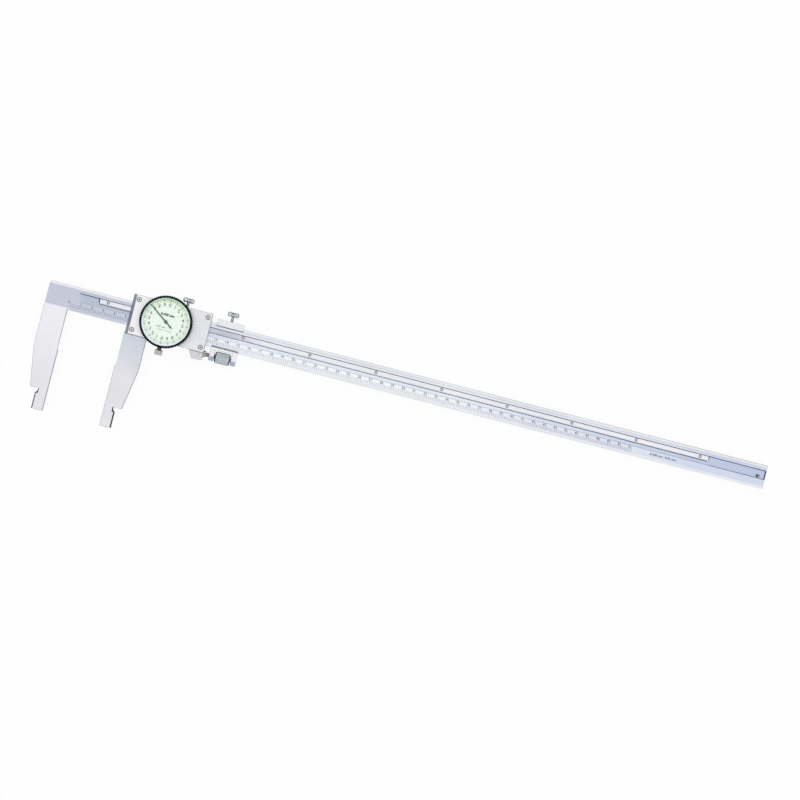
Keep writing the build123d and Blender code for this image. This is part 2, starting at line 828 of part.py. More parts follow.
pieces = {
    "main_beam": make_beam,
    "rack": make_rack,
    "rack_screws": make_rack_screws,
    "stop_screw": make_stop_screw,
    "slider_body": make_slider_body,
    "gib_strip": make_gib,
    "gib_screws": make_gib_screws,
    "cover_plate": make_cover_plate,
    "cover_screws": make_cover_screws,
    "slider_lock_screw": make_slider_lock_screw,
    "rack_pinion": make_rack_pinion,
    "drive_wheel": make_drive_wheel,
    "scissor_wheel": make_scissor_wheel,
    "scissor_spring": make_scissor_spring,
    "centre_pinion": make_centre_pinion,
    "dial_case": make_dial_case,
    "case_screws": make_case_screws,
    "train_bridge": make_train_bridge,
    "bridge_screws": make_bridge_screws,
    "bezel": make_bezel,
    "bezel_spring": make_bezel_spring,
    "dial_face": make_dial_face,
    "dial_ring": make_dial_ring,
    "crystal": make_crystal,
    "pointer": make_pointer,
    "bezel_clamp_shoe": make_bezel_clamp_shoe,
    "bezel_clamp_screw": make_bezel_clamp_screw,
    "fine_clamp": make_fine_clamp,
    "clamp_shoe": make_clamp_shoe,
    "clamp_lock_screw": make_clamp_lock_screw,
    "fine_screw": make_fine_screw,
    "fine_screw_collar": make_fine_screw_collar,
    "fine_nut": make_fine_nut,
}

for name, make in pieces.items():
    save(name, make())
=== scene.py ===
import bpy
import bmesh
import math
import random
from mathutils import Matrix, Vector


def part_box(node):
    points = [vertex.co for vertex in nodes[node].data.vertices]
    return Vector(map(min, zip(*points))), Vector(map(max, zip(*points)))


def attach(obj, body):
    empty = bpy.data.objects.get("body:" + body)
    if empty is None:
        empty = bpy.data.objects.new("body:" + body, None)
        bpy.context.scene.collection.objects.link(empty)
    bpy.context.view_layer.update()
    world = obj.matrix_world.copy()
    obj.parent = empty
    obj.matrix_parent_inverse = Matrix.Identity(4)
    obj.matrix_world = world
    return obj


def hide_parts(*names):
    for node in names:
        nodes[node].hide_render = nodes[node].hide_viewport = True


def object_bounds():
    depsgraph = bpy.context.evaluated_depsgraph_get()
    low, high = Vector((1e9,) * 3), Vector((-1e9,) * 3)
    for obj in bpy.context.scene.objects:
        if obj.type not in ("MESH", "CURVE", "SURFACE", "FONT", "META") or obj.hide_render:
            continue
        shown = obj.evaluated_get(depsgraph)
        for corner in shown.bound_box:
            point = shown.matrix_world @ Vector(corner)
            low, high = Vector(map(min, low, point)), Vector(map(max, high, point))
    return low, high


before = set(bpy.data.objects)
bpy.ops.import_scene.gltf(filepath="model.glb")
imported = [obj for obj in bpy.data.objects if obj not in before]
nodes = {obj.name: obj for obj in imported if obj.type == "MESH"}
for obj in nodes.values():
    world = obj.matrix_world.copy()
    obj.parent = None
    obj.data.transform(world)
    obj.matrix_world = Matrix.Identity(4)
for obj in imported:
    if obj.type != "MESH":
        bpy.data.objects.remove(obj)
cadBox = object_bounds()
mm = 0.001


def middle(node):  # centre of a piece's box
    low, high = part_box(node)
    return Vector([(a + b) / 2 for a, b in zip(low, high)])


# Places read from the frame
rackLow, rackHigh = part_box("rack")
coverLow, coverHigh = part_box("cover_plate")
dialLow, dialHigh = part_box("dial_face")
dialCentre = middle("bezel")
dialAxis = Matrix.Translation((dialCentre.x, dialCentre.y, 0))
beamFace = 6.0 * mm  # front of the beam's bar, which its jaw stands proud of

# A turned part stands along Z, and these lay it along another axis
layAlongX = Matrix.Rotation(math.pi / 2, 4, "Y")
layAlongY = Matrix.Rotation(-math.pi / 2, 4, "X")

print("frame loaded")


# Materials

def hexToLinear(code):  # sRGB hex to the linear values that a socket holds
    values = []
    for i in (1, 3, 5):
        c = int(code[i:i + 2], 16) / 255
        values.append(c / 12.92 if c <= 0.04045 else ((c + 0.055) / 1.055) ** 2.4)
    return (*values, 1.0)


def addNode(tree, kind, settings=None, links=None):
    node = tree.nodes.new(kind)
    for key, value in (settings or {}).items():
        if isinstance(key, int) or key in node.inputs:
            node.inputs[key].default_value = value
        else:
            setattr(node, key, value)
    for key, source in (links or {}).items():
        tree.links.new(source, node.inputs[key])
    return node


def newMaterial(name):
    material = bpy.data.materials.new(name)
    material.use_nodes = True
    tree = material.node_tree
    tree.nodes.clear()
    return material, tree


def closeMaterial(tree, shader):
    addNode(tree, "ShaderNodeOutputMaterial", links={"Surface": shader.outputs[0]})


def twoColours(tree, factor, first, second, end=1.0):  # ramp from one colour to another
    ramp = addNode(tree, "ShaderNodeValToRGB", links={"Fac": factor})
    ramp.color_ramp.elements[0].color = hexToLinear(first)
    ramp.color_ramp.elements[1].color = hexToLinear(second)
    ramp.color_ramp.elements[1].position = end
    return ramp.outputs["Color"]


def zoneShare(tree, coords, where):  # 0 outside a zone, 1 inside, over its steps along axes
    parts = addNode(tree, "ShaderNodeSeparateXYZ", links={"Vector": coords.outputs["Object"]})
    share = None
    for axis, start, end in where:
        step = addNode(tree, "ShaderNodeMapRange",
                       {"From Min": start * mm, "From Max": end * mm},
                       {"Value": parts.outputs[axis]})
        if share is None:
            share = step.outputs[0]
        else:
            both = addNode(tree, "ShaderNodeMath", {"operation": "MULTIPLY"},
                           {0: share, 1: step.outputs[0]})
            share = both.outputs[0]
    return share


grinding = {"lineDetail": 3.0, "breakUp": 0.6, "cloudDetail": 2.0, "cloudShare": 0.35,
            "darkAt": 0.35, "lightAt": 0.65, "roughSpread": 0.05, "relief": 0.02 * mm}


def groundMetal(name, finish):
    # Ground metal: long grinding lines in one direction, a little cloudiness, satin reflections.
    # Zones give the parts of one piece the tints that their own grinding left.
    material, tree = newMaterial(name)
    coords = addNode(tree, "ShaderNodeTexCoord")
    across = 1 / (finish["lineWidth"] * mm)
    along = 1 / (finish["lineLength"] * mm)
    scale = {"x": (along, across, across), "y": (across, along, across)}[
        finish.get("along", "x")]
    place = addNode(tree, "ShaderNodeMapping", {"Scale": scale},
                    {"Vector": coords.outputs["Object"]})
    lines = addNode(tree, "ShaderNodeTexNoise",
                    {"Scale": 1.0, "Detail": grinding["lineDetail"],
                     "Roughness": grinding["breakUp"]},
                    {"Vector": place.outputs["Vector"]})
    clouds = addNode(tree, "ShaderNodeTexNoise",
                     {"Scale": 1 / (finish["cloudSize"] * mm), "Detail": grinding["cloudDetail"]},
                     {"Vector": coords.outputs["Object"]})
    both = addNode(tree, "ShaderNodeMix",
                   {"data_type": "FLOAT", "Factor": grinding["cloudShare"]},
                   {"A": lines.outputs["Fac"], "B": clouds.outputs["Fac"]})
    spread = addNode(tree, "ShaderNodeMapRange",
                     {"From Min": grinding["darkAt"], "From Max": grinding["lightAt"]},
                     {"Value": both.outputs[0]})
    colour = twoColours(tree, spread.outputs[0], finish["dark"], finish["light"])
    for where, dark, light in finish.get("zones", []):
        tint = twoColours(tree, spread.outputs[0], dark, light)
        mixed = addNode(tree, "ShaderNodeMix", {"data_type": "RGBA"},
                        {0: zoneShare(tree, coords, where), 6: colour, 7: tint})
        colour = mixed.outputs[2]
    rough = addNode(tree, "ShaderNodeMapRange",
                    {"To Min": finish["rough"] - grinding["roughSpread"],
                     "To Max": finish["rough"] + grinding["roughSpread"]},
                    {"Value": both.outputs[0]})
    bump = addNode(tree, "ShaderNodeBump",
                   {"Strength": finish["bump"], "Distance": grinding["relief"]},
                   {"Height": lines.outputs["Fac"]})
    shader = addNode(tree, "ShaderNodeBsdfPrincipled", {"Metallic": 1.0},
                     {"Base Color": colour, "Roughness": rough.outputs[0],
                      "Normal": bump.outputs["Normal"]})
    closeMaterial(tree, shader)
    return material


# Sizes of lines and clouds, and places of zones, are in mm. A zone is a list of steps with its
# dark and light tints. A step goes from none at its first place on an axis to full at its second.

wallShadeTint = ("#39424f", "#525c6b")  # painted shade tints that more than one piece has
nibShadeTint = ("#1f2839", "#3a4457")
lowSideShadeTint = ("#8a94a8", "#a5adbe")

inGroove = [("Z", 5.8, 5.0), ("Y", -2.7, -2.3)]
onJaw = ("X", 0.5, -0.5)  # left of the fixed measuring face
beamSide = [("Z", 5.1, 4.9), ("Z", 0.05, 0.3)]
underNib = ("Y", -82.65, -82.75)  # below a jaw's shoulder
undercutEnd = ("Y", -87.0, -86.7)
nibFront = ("Z", 3.8, 4.4)

# Hardened stainless steel, ground along its length: a cool pale face with long faint streaks
beamFinish = {"lineWidth": 0.3, "lineLength": 18, "cloudSize": 40,
              "dark": "#bfc5d6", "light": "#d0d5e2", "rough": 0.34, "bump": 0.2, "zones": [
    ([("X", 60, 150)], "#dee1ec", "#f1f3fa"),  # painted reflection: paler past the slider
    ([("X", 420, 600)], "#ccd4e8", "#dbe1f1"),  # painted reflection: cooler at the far end
    ([("Y", -2.5, -2.9), ("Y", -8.5, -8.2), ("X", 110, 165), ("X", 430, 300)],
     "#f2f5fa", "#fdfeff"),  # painted reflection: brightest where the scale is
    # painted shade in the groove
    (inGroove, "#b3bdd0", "#c4ccdb"),
    # painted reflection in the groove: paler by the slider, bluer at the far end
    ([*inGroove, ("X", 55, 150)], "#e0e8f5", "#edf2fb"),
    ([*inGroove, ("X", 380, 600)], "#b9c5df", "#c8d3e7"),
    ([("Y", 8.2, 8.6)], "#e3e3eb", "#f3f3f9"),  # painted reflection on the land along the upper edge
    ([("Y", -8.2, -8.6), ("X", 48, 60)], "#e2e3eb", "#f1f2f7"),  # painted reflection on the land along the lower edge
    ([("Y", 7.9, 8.05), ("Y", 8.5, 8.35)], "#b4bac9", "#c4c9d6"),  # painted shade: a line beside the upper land
    ([("Y", 5.3, 5.45), ("Y", 6.1, 5.95), ("X", 6.2, 7.0), ("X", 24.5, 24)],
     *wallShadeTint),  # painted shade on the groove's upper wall, left of the rack
    ([("Y", -8.7, -9.7), onJaw], "#e9e7ed", "#f4f3f6"),  # the jaw, and its lower half
    ([("Y", -45, -72), onJaw], "#e1dfe5", "#edebef"),
    # painted shade on the upper side face
    ([*beamSide, ("Y", 9.5, 10.0)], "#99a2b4", "#b2b9c8"),
    # painted shade on the lower side face
    ([*beamSide, ("Y", -9.5, -10.0)], *lowSideShadeTint),
    # painted shade along the nib's rounded edge and its undercut
    ([underNib, ("X", -8.6, -9.0), nibFront], *nibShadeTint),
    ([underNib, undercutEnd, ("X", -7.0, -7.3), nibFront], *nibShadeTint),
    ([("Z", 0.3, 0.1)], "#c8cdda", "#dadee7")]}  # painted shade on the back
# The same steel in a broad body, ground in shorter strokes: softer and duller
sliderFinish = {"lineWidth": 0.35, "lineLength": 9, "cloudSize": 16,
                "dark": "#cacfda", "light": "#dde0e9", "rough": 0.4, "bump": 0.25, "zones": [
    ([("Y", -24, -58)], "#dfdee3", "#edebef"),  # painted reflection: paler towards the end of its jaw
    ([("X", 100, 106)], "#d0d0d5", "#dedde2"),  # painted shade towards the fine screw's lug
    ([("Z", 5.6, 5.2)], "#b4bbc9", "#c8cdd9"),  # painted shade below its front
    # painted shade on its lower side face
    ([("Z", 5.6, 5.2), ("Z", 0.05, 0.3), ("Y", -17.8, -18.4)], *lowSideShadeTint),
    # painted shade along its nib's rounded edge and undercut
    ([underNib, ("X", 59.3, 59.7), nibFront], *nibShadeTint),
    ([underNib, undercutEnd, ("X", 57.7, 58.0), nibFront], *nibShadeTint)]}
# Rack strip, finely ground, with painted light: brightest at its far part by painted reflection,
# and darker beside the clamp, along its teeth and at its near end by painted shade
rackFinish = {"lineWidth": 0.25, "lineLength": 12, "cloudSize": 60,
              "dark": "#e2e4ee", "light": "#f1f3f9", "rough": 0.3, "bump": 0.15, "zones": [
    # painted shade beside the clamp, then painted reflection past it
    ([("X", 60, 118)], "#bebfcd", "#cfd1dc"),
    ([("X", 140, 172)], "#e4e4ec", "#f3f3f8"),
    # painted shade along the teeth
    ([("Y", 1.65, 1.5)], "#3a4250", "#4d5665"),
    # painted shadow at its near end
    ([("X", 24.9, 24.6)], *wallShadeTint)]}
# Satin cover plate and clamp: nearly white, with short fine strokes
coverFinish = {"lineWidth": 0.3, "lineLength": 5, "cloudSize": 12,
               "dark": "#f0f0f3", "light": "#fbfafc", "rough": 0.42, "bump": 0.3, "zones": [
    ([("X", 64, 112)], "#e0e1e7", "#eeeff2"),  # painted shade: dimmer towards its right end
    ([("X", 54.7, 54.3)], "#8791a0", "#99a2b0")]}  # painted shade on the bevel at its left end
clampFinish = {"lineWidth": 0.3, "lineLength": 6, "cloudSize": 9,
               "dark": "#e7e6e8", "light": "#f1f1f2", "rough": 0.42, "bump": 0.2, "zones": [
    ([("Y", 9.2, 9.0)], "#4b5468", "#667088"),  # painted shade behind the beam and beside it
    ([("Y", -10.3, -10.5)], "#e7e8ef", "#f4f4f8"),  # cheeks that hold the nut
    ([("Y", -18.3, -18.7)], "#9dabb9", "#b1becb")]}  # painted shade on their lower half
# Edges drawn off with a stone, coloured grey as painted shade: a narrow line round each ground
# piece
edgeShadeFinish = {"lineWidth": 0.3, "lineLength": 2, "cloudSize": 4,
              "dark": "#bfc4d1", "light": "#d9dde7", "rough": 0.35, "bump": 0.1,
              "zones": [([("Y", -10.9, -11.3)], "#2f394d", "#5d687d")]}  # painted shade, dark round the jaws
coverEdgeShadeFinish = {**edgeShadeFinish, "dark": "#a3a6b0", "light": "#cbced6", "zones": []}
# Turned screws, bright and slightly warm, and a rolled thread with old oil in its roots
screwFinish = {"lineWidth": 0.2, "lineLength": 1.5, "cloudSize": 3,
               "dark": "#ebe6e2", "light": "#faf7f4", "rough": 0.35, "bump": 0.1}
threadFinish = {**screwFinish, "lineLength": 0.5, "cloudSize": 1, "dark": "#8a7a74",
                "light": "#ece5df"}
# Chrome plate on the thumb screws and the nut: a wide spread from grey to near white that stands
# for strong lights, a painted sheen, and painted shade underneath
thumbFinish = {"along": "y", "lineWidth": 0.3, "lineLength": 3, "cloudSize": 1.8,
               "dark": "#969fa8", "light": "#e6ebf0", "rough": 0.16, "bump": 0.1,
               "zones": [([("Z", 4.2, 3.9)], "#2f3840", "#566068")]}
knobFinish = {"along": "y", "lineWidth": 0.4, "lineLength": 4, "cloudSize": 3,
              "dark": "#a3a8a8", "light": "#d2d5d3", "rough": 0.28, "bump": 0.1}
nutFinish = {"lineWidth": 0.4, "lineLength": 8, "cloudSize": 5,
             "dark": "#adb5bd", "light": "#cad0d6", "rough": 0.3, "bump": 0.15,
             "zones": [([("Z", 5.7, 4.7)], "#4a535b", "#6a737b")]}
# Polished ring inside the bezel, coloured with a painted reflection: a green cast from the dial
# at its upper left
ringReflectionFinish = {"lineWidth": 0.5, "lineLength": 2, "cloudSize": 6,
              "dark": "#a5c79d", "light": "#bbd8b4", "rough": 0.18, "bump": 0.0, "zones": [
    # painted reflection: bluish white towards its lower side, paler to the right
    ([("Y", 7, -7)], "#dfeff7", "#eef8fd"),
    ([("X", 90, 101)], "#dbe9da", "#e6f1e5")]}

beamSteel = groundMetal("groundBeamSteel", beamFinish)
sliderSteel = groundMetal("groundSliderSteel", sliderFinish)
rackSteel = groundMetal("groundRackSteel", rackFinish)
coverSteel = groundMetal("satinCoverSteel", coverFinish)
clampSteel = groundMetal("satinClampSteel", clampFinish)
edgeShadeSteel = groundMetal("stonedEdgeShadeSteel", edgeShadeFinish)
coverEdgeShadeSteel = groundMetal("stonedCoverEdgeShadeSteel", coverEdgeShadeFinish)
screwSteel = groundMetal("turnedScrewSteel", screwFinish)
threadSteel = groundMetal("oiledThreadSteel", threadFinish)
thumbChrome = groundMetal("satinChromePlate", thumbFinish)
knobChrome = groundMetal("paleChromePlate", knobFinish)
nutChrome = groundMetal("knurledChromePlate", nutFinish)
polishedRingReflection = groundMetal("polishedRingReflection", ringReflectionFinish)
print("steels made")


markDetail = 2.0  # how finely tool marks break up


def turnedBrass(name, finish):
    # Free-cutting brass off the lathe: warm metal with fine tool marks
    material, tree = newMaterial(name)
    coords = addNode(tree, "ShaderNodeTexCoord")
    marks = addNode(tree, "ShaderNodeTexNoise",
                    {"Scale": 1 / (finish["markWidth"] * mm), "Detail": markDetail},
                    {"Vector": coords.outputs["Object"]})
    colour = twoColours(tree, marks.outputs["Fac"], finish["dark"], finish["light"])
    shader = addNode(tree, "ShaderNodeBsdfPrincipled",
                     {"Metallic": 1.0, "Roughness": finish["rough"]}, {"Base Color": colour})
    closeMaterial(tree, shader)
    return material


brass = turnedBrass("turnedBrass", {"markWidth": 0.5, "dark": "#a88648", "light": "#d8bb7a",
                                    "rough": 0.32})
shoeBrass = turnedBrass("tarnishedBrass", {"markWidth": 0.5, "dark": "#4b3f28",
                                           "light": "#8d7a50", "rough": 0.4})
bronze = turnedBrass("gibBronze", {"markWidth": 0.8, "dark": "#8e6a42", "light": "#b58f60",
                                   "rough": 0.4})

lacquer = {"peel": 0.1, "relief": 0.01 * mm, "ior": 1.5, "gloss": 0.5}


def paint(name, finish):
    # Thin lacquer or print: nearly even colour with a faint orange-peel unevenness
    material, tree = newMaterial(name)
    coords = addNode(tree, "ShaderNodeTexCoord")
    peel = addNode(tree, "ShaderNodeTexNoise", {"Scale": 1 / (finish["grain"] * mm)},
                   {"Vector": coords.outputs["Object"]})
    colour = twoColours(tree, peel.outputs["Fac"], finish["dark"], finish["light"])
    bump = addNode(tree, "ShaderNodeBump",
                   {"Strength": lacquer["peel"], "Distance": lacquer["relief"]},
                   {"Height": peel.outputs["Fac"]})
    shader = addNode(tree, "ShaderNodeBsdfPrincipled",
                     {"Roughness": finish["rough"], "IOR": lacquer["ior"],
                      "Specular IOR Level": finish.get("gloss", lacquer["gloss"])},
                     {"Base Color": colour, "Normal": bump.outputs["Normal"]})
    closeMaterial(tree, shader)
    return material


def printInk(name, dark, light):  # printing ink: a thin, even and matt film
    return paint(name, {"grain": 0.5, "dark": dark, "light": light, "rough": 0.6})


blackAnodised = paint("blackAnodisedAluminium", {"grain": 0.4, "dark": "#030917",
                                                 "light": "#0a1a30", "rough": 0.5,
                                                 "gloss": 0.08})
greenEnamel = paint("greenEnamel", {"grain": 0.5, "dark": "#0f4a31", "light": "#1a5c40",
                                    "rough": 0.35, "gloss": 0.2})
dialInk = printInk("dialInk", "#305b45", "#437359")
dialDarkInk = printInk("dialDarkInk", "#122a20", "#1e3d2f")
dialLineInk = printInk("dialLineInk", "#46753a", "#5c8a4b")
dialPaleInk = printInk("dialPaleInk", "#7da387", "#90b396")
scaleInk = printInk("scaleInk", "#4f596d", "#657084")
figureInk = printInk("figureInk", "#5a6478", "#6f798c")

# Oil that has dried brown in the recesses, which also stands for painted shade there; a dark grey
# for print and for painted shade in the groove and on the nut's chamfers; and a painted shadow
# along the cover's lower edge
recessPatinaAndShade = paint("recessPatinaAndShade", {"grain": 0.3, "dark": "#240c07", "light": "#4a261c",
                                      "rough": 0.45, "gloss": 0.3})
darkInkAndShade = paint("darkInkAndShade", {"grain": 0.8, "dark": "#2b3342", "light": "#464f60",
                              "rough": 0.3, "gloss": 0.3})
coverEdgeShadow = paint("coverEdgeShadow", {"grain": 0.8, "dark": "#45434a", "light": "#68636a",
                            "rough": 0.4, "gloss": 0.3})


def dialPaper(name, finish):
    # Matt dial print, pale in the middle and greener towards its rim, most of all at the top:
    # painted shade and painted reflection from the bezel's wall
    material, tree = newMaterial(name)
    coords = addNode(tree, "ShaderNodeTexCoord")
    place = addNode(tree, "ShaderNodeMapping",
                    {"Location": (finish["shiftX"] - dialCentre.x,
                                  finish["shiftY"] - dialCentre.y, 0)},
                    {"Vector": coords.outputs["Object"]})
    flat = addNode(tree, "ShaderNodeVectorMath",
                   {"operation": "MULTIPLY", 1: (1, 1, 0)},
                   {0: place.outputs["Vector"]})
    away = addNode(tree, "ShaderNodeVectorMath", {"operation": "LENGTH"},
                   {0: flat.outputs["Vector"]})
    share = addNode(tree, "ShaderNodeMapRange",
                    {"From Min": finish["near"], "From Max": finish["far"]},
                    {"Value": away.outputs["Value"]})
    colour = twoColours(tree, share.outputs[0], finish["pale"], finish["deep"])
    shader = addNode(tree, "ShaderNodeBsdfPrincipled",
                     {"Roughness": finish["rough"], "IOR": finish["ior"]},
                     {"Base Color": colour})
    closeMaterial(tree, shader)
    return material


dialGreen = dialPaper("dialPrintGreen", {"shiftX": 0.7 * mm, "shiftY": 1.6 * mm,
                                         "near": 19.0 * mm, "far": 24.5 * mm,
                                         "pale": "#f0fbf0", "deep": "#86c276",
                                         "rough": 0.55, "ior": 1.45})


def clearCrystal(name, finish):
    # Acrylic crystal: nearly clear, with a faint sheen
    material, tree = newMaterial(name)
    shader = addNode(tree, "ShaderNodeBsdfPrincipled",
                     {"Base Color": hexToLinear(finish["tint"]), "Roughness": finish["rough"],
                      "IOR": finish["ior"], "Alpha": finish["alpha"]})
    closeMaterial(tree, shader)
    return material


crystalClear = clearCrystal("acrylicCrystal", {"tint": "#eef7f5", "alpha": 0.04,
                                               "rough": 0.03, "ior": 1.49})
print("materials made")


# Finishes of the frame's own pieces

nodeFinish = {
    "main_beam": beamSteel, "rack": rackSteel, "rack_screws": screwSteel,
    "stop_screw": screwSteel, "slider_body": sliderSteel, "gib_strip": bronze,
    "gib_screws": screwSteel, "cover_plate": coverSteel, "cover_screws": screwSteel,
    "slider_lock_screw": thumbChrome, "rack_pinion": screwSteel, "drive_wheel": brass,
    "scissor_wheel": brass, "scissor_spring": screwSteel, "centre_pinion": screwSteel,
    "dial_case": brass, "case_screws": screwSteel, "train_bridge": brass,
    "bridge_screws": screwSteel, "bezel": blackAnodised, "bezel_spring": screwSteel,
    "dial_face": dialGreen, "dial_ring": polishedRingReflection, "crystal": crystalClear,
    "pointer": greenEnamel, "bezel_clamp_shoe": brass, "bezel_clamp_screw": thumbChrome,
    "fine_clamp": clampSteel, "clamp_shoe": bronze, "clamp_lock_screw": thumbChrome,
    "fine_screw": threadSteel, "fine_screw_collar": threadSteel, "fine_nut": nutChrome,
}
for name, material in nodeFinish.items():
    mesh = nodes[name].data
    mesh.materials.clear()
    mesh.materials.append(material)

print("frame dressed")


# Tools for new pieces

def makeObject(name, bm, materials):
    mesh = bpy.data.meshes.new(name)
    bm.to_mesh(mesh)
    bm.free()
    for material in materials:
        mesh.materials.append(material)
    made = bpy.data.objects.new(name, mesh)
    bpy.context.scene.collection.objects.link(made)
    return made


def finishPiece(name, bm, materials, body, smoothUnder=0):
    bmesh.ops.recalc_face_normals(bm, faces=bm.faces)
    for face in bm.faces:
        face.smooth = smoothUnder > 0
    piece = makeObject(name, bm, materials)
    if smoothUnder:
        piece.data.set_sharp_from_angle(angle=math.radians(smoothUnder))
    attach(piece, body)
    return piece


def addBar(bm, place, size):  # a small bar, placed by a matrix
    bmesh.ops.create_cube(bm, size=1.0, matrix=place @ Matrix.Diagonal((*size, 1.0)))


def joinInto(bm, part, place):  # sets a finished part in its place in a piece
    bmesh.ops.transform(part, matrix=place, verts=part.verts)
    mesh = bpy.data.meshes.new("part")
    part.to_mesh(mesh)
    part.free()
    bm.from_mesh(mesh)
    bpy.data.meshes.remove(mesh)


sameSpot = 0.001 * mm  # points nearer than this are one


def turnedPart(profile, steps):  # radius and height pairs, spun about Z into a closed shape
    part = bmesh.new()
    verts = [part.verts.new((radius, 0, height)) for radius, height in profile]
    edges = [part.edges.new(pair) for pair in zip(verts, verts[1:] + verts[:1])]
    bmesh.ops.spin(part, geom=verts + edges, cent=(0, 0, 0), axis=(0, 0, 1),
                   angle=2 * math.pi, steps=steps, use_merge=True)
    bmesh.ops.remove_doubles(part, verts=part.verts, dist=sameSpot)
    bmesh.ops.dissolve_degenerate(part, edges=part.edges, dist=sameSpot)
    return part


def pressRibs(part, ribs, near, depth):  # every other column of a turned wall goes in
    for vert in part.verts:
        radius = math.hypot(vert.co.x, vert.co.y)
        column = round(math.atan2(vert.co.y, vert.co.x) / math.pi * ribs)
        if column % 2 and radius > near:
            vert.co.x *= 1 - depth / radius
            vert.co.y *= 1 - depth / radius


lettering = {"bold": 0.03, "curve": 3, "capital": 0.7}  # a capital's share of the font's size


def addText(bm, text, height, place, bold=lettering["bold"]):
    # Figures and words: text is made a mesh, then set in its place
    curve = bpy.data.curves.new("figure", "FONT")
    curve.body = text
    curve.align_x = "CENTER"
    curve.align_y = "CENTER"
    curve.resolution_u = lettering["curve"]
    curve.offset = bold * height  # bolder than the plain letter
    curve.size = height / lettering["capital"]
    holder = bpy.data.objects.new("figure", curve)
    bpy.context.scene.collection.objects.link(holder)
    bpy.context.view_layer.update()
    flat = bpy.data.meshes.new_from_object(holder)
    flat.transform(place)
    bm.from_mesh(flat)
    bpy.data.objects.remove(holder)
    bpy.data.curves.remove(curve)
    bpy.data.meshes.remove(flat)


# Ground pieces: copies of the frame's shapes, their sharp edges drawn off with a stone

easedEdge = {"merge": 0.002 * mm, "flat": 0.1, "shortest": 1.2 * mm, "sharp": 40,
             "width": 0.24 * mm}


def makeEasedCopy(name, node, materials, body):
    bm = bmesh.new()
    bm.from_mesh(nodes[node].data)
    low, high = [[pick(vert.co[axis] for vert in bm.verts) for axis in range(3)]
                 for pick in (min, max)]
    bmesh.ops.remove_doubles(bm, verts=bm.verts, dist=easedEdge["merge"])
    bmesh.ops.dissolve_limit(bm, angle_limit=math.radians(easedEdge["flat"]),
                             verts=bm.verts, edges=bm.edges)
    sharp = [edge for edge in bm.edges if len(edge.link_faces) == 2 and edge.is_convex
             and edge.calc_length() > easedEdge["shortest"]
             and edge.calc_face_angle() > math.radians(easedEdge["sharp"])]
    eased = bmesh.ops.bevel(bm, geom=sharp, offset=easedEdge["width"], offset_type="OFFSET",
                            affect="EDGES", segments=1, profile=0.5, clamp_overlap=False,
                            material=-1)
    for face in eased["faces"]:
        face.material_index = 1
    for vert in bm.verts:  # a drawn off corner can reach past the solid, so it is brought back
        vert.co = [min(max(vert.co[axis], low[axis]), high[axis]) for axis in range(3)]
    piece = finishPiece(name, bm, materials, body)
    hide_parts(node)


makeEasedCopy("easedBeam", "main_beam", [beamSteel, edgeShadeSteel], "beam")
makeEasedCopy("easedSlider", "slider_body", [sliderSteel, edgeShadeSteel], "slider")
makeEasedCopy("easedCover", "cover_plate", [coverSteel, coverEdgeShadeSteel], "slider")
makeEasedCopy("easedClamp", "fine_clamp", [clampSteel, coverEdgeShadeSteel], "fine_adjuster")
print("ground pieces eased")


# Beam scale: a line every millimetre, numbered in centimetres. The even lines, one for each
# turn of the dial, are cut wider, and wide enough to show at the photograph's size.

beamScale = {"first": 1.3 * mm, "last": 510, "step": 1.0 * mm, "lineLow": -8.1 * mm,
             "short": 3.1 * mm, "half": 3.5 * mm, "long": 4.1 * mm, "wide": 0.3 * mm,
             "narrow": 0.1 * mm, "thick": 0.01 * mm, "figureHeight": 2.2 * mm,
             "figureStep": 10 * mm, "figureShift": -1.9 * mm, "figureY": -3.7 * mm,
             "range": "0-500 mm  0.02 mm", "rangeX": 541 * mm, "rangeY": -5.2 * mm,
             "rangeHeight": 2.1 * mm}


def makeScaleLines():
    bm = bmesh.new()
    for i in range(beamScale["last"] + 1):
        length = beamScale["short"]
        if i % 5 == 0:
            length = beamScale["half"]
        if i % 10 == 0:
            length = beamScale["long"]
        x = beamScale["first"] + i * beamScale["step"]
        place = Matrix.Translation((x, beamScale["lineLow"] + length / 2, beamFace))
        width = beamScale["narrow"] if i % 2 else beamScale["wide"]
        addBar(bm, place, (width, length, beamScale["thick"]))
    finishPiece("scaleLines", bm, [scaleInk], "beam")


def makeScaleFigures():
    bm = bmesh.new()
    level = beamFace + beamScale["thick"]
    for i in range(beamScale["last"] // 10 + 1):
        x = beamScale["first"] + i * beamScale["figureStep"] + beamScale["figureShift"]
        place = Matrix.Translation((x, beamScale["figureY"], level))
        addText(bm, str(i), beamScale["figureHeight"], place)
    finishPiece("scaleFigures", bm, [figureInk], "beam")
    bm = bmesh.new()
    place = Matrix.Translation((beamScale["rangeX"], beamScale["rangeY"], level))
    addText(bm, beamScale["range"], beamScale["rangeHeight"], place)
    finishPiece("rangeMark", bm, [darkInkAndShade], "beam")


makeScaleLines()
makeScaleFigures()
print("beam scale made")


# Painted shade along the seams: dark lines beside the rack, along the groove's walls and under
# the cover

shadeLine = {"thick": 0.2 * mm, "wall": 0.5 * mm, "wallStart": 24.2 * mm, "low": 0.3 * mm,
           "lowWall": -2.1 * mm, "lowStart": 584 * mm, "end": 636 * mm, "teeth": 0.4 * mm,
           "nearEnd": 0.45 * mm, "nearThick": 3.4 * mm, "farEnd": 1.2 * mm,
           "endRise": 0.6 * mm, "endWidth": 3.2 * mm, "cover": 0.35 * mm,
           "coverDrop": 0.09 * mm, "corner": 0.3 * mm, "jawEnd": 71.3 * mm,
           "lugStart": 109.6 * mm}


def addSeam(bm, start, end, y, level, width):  # a thin dark line of painted shade lying along X
    spot = Matrix.Translation(((start + end) / 2, y, level))
    addBar(bm, spot, (end - start, width, shadeLine["thick"]))


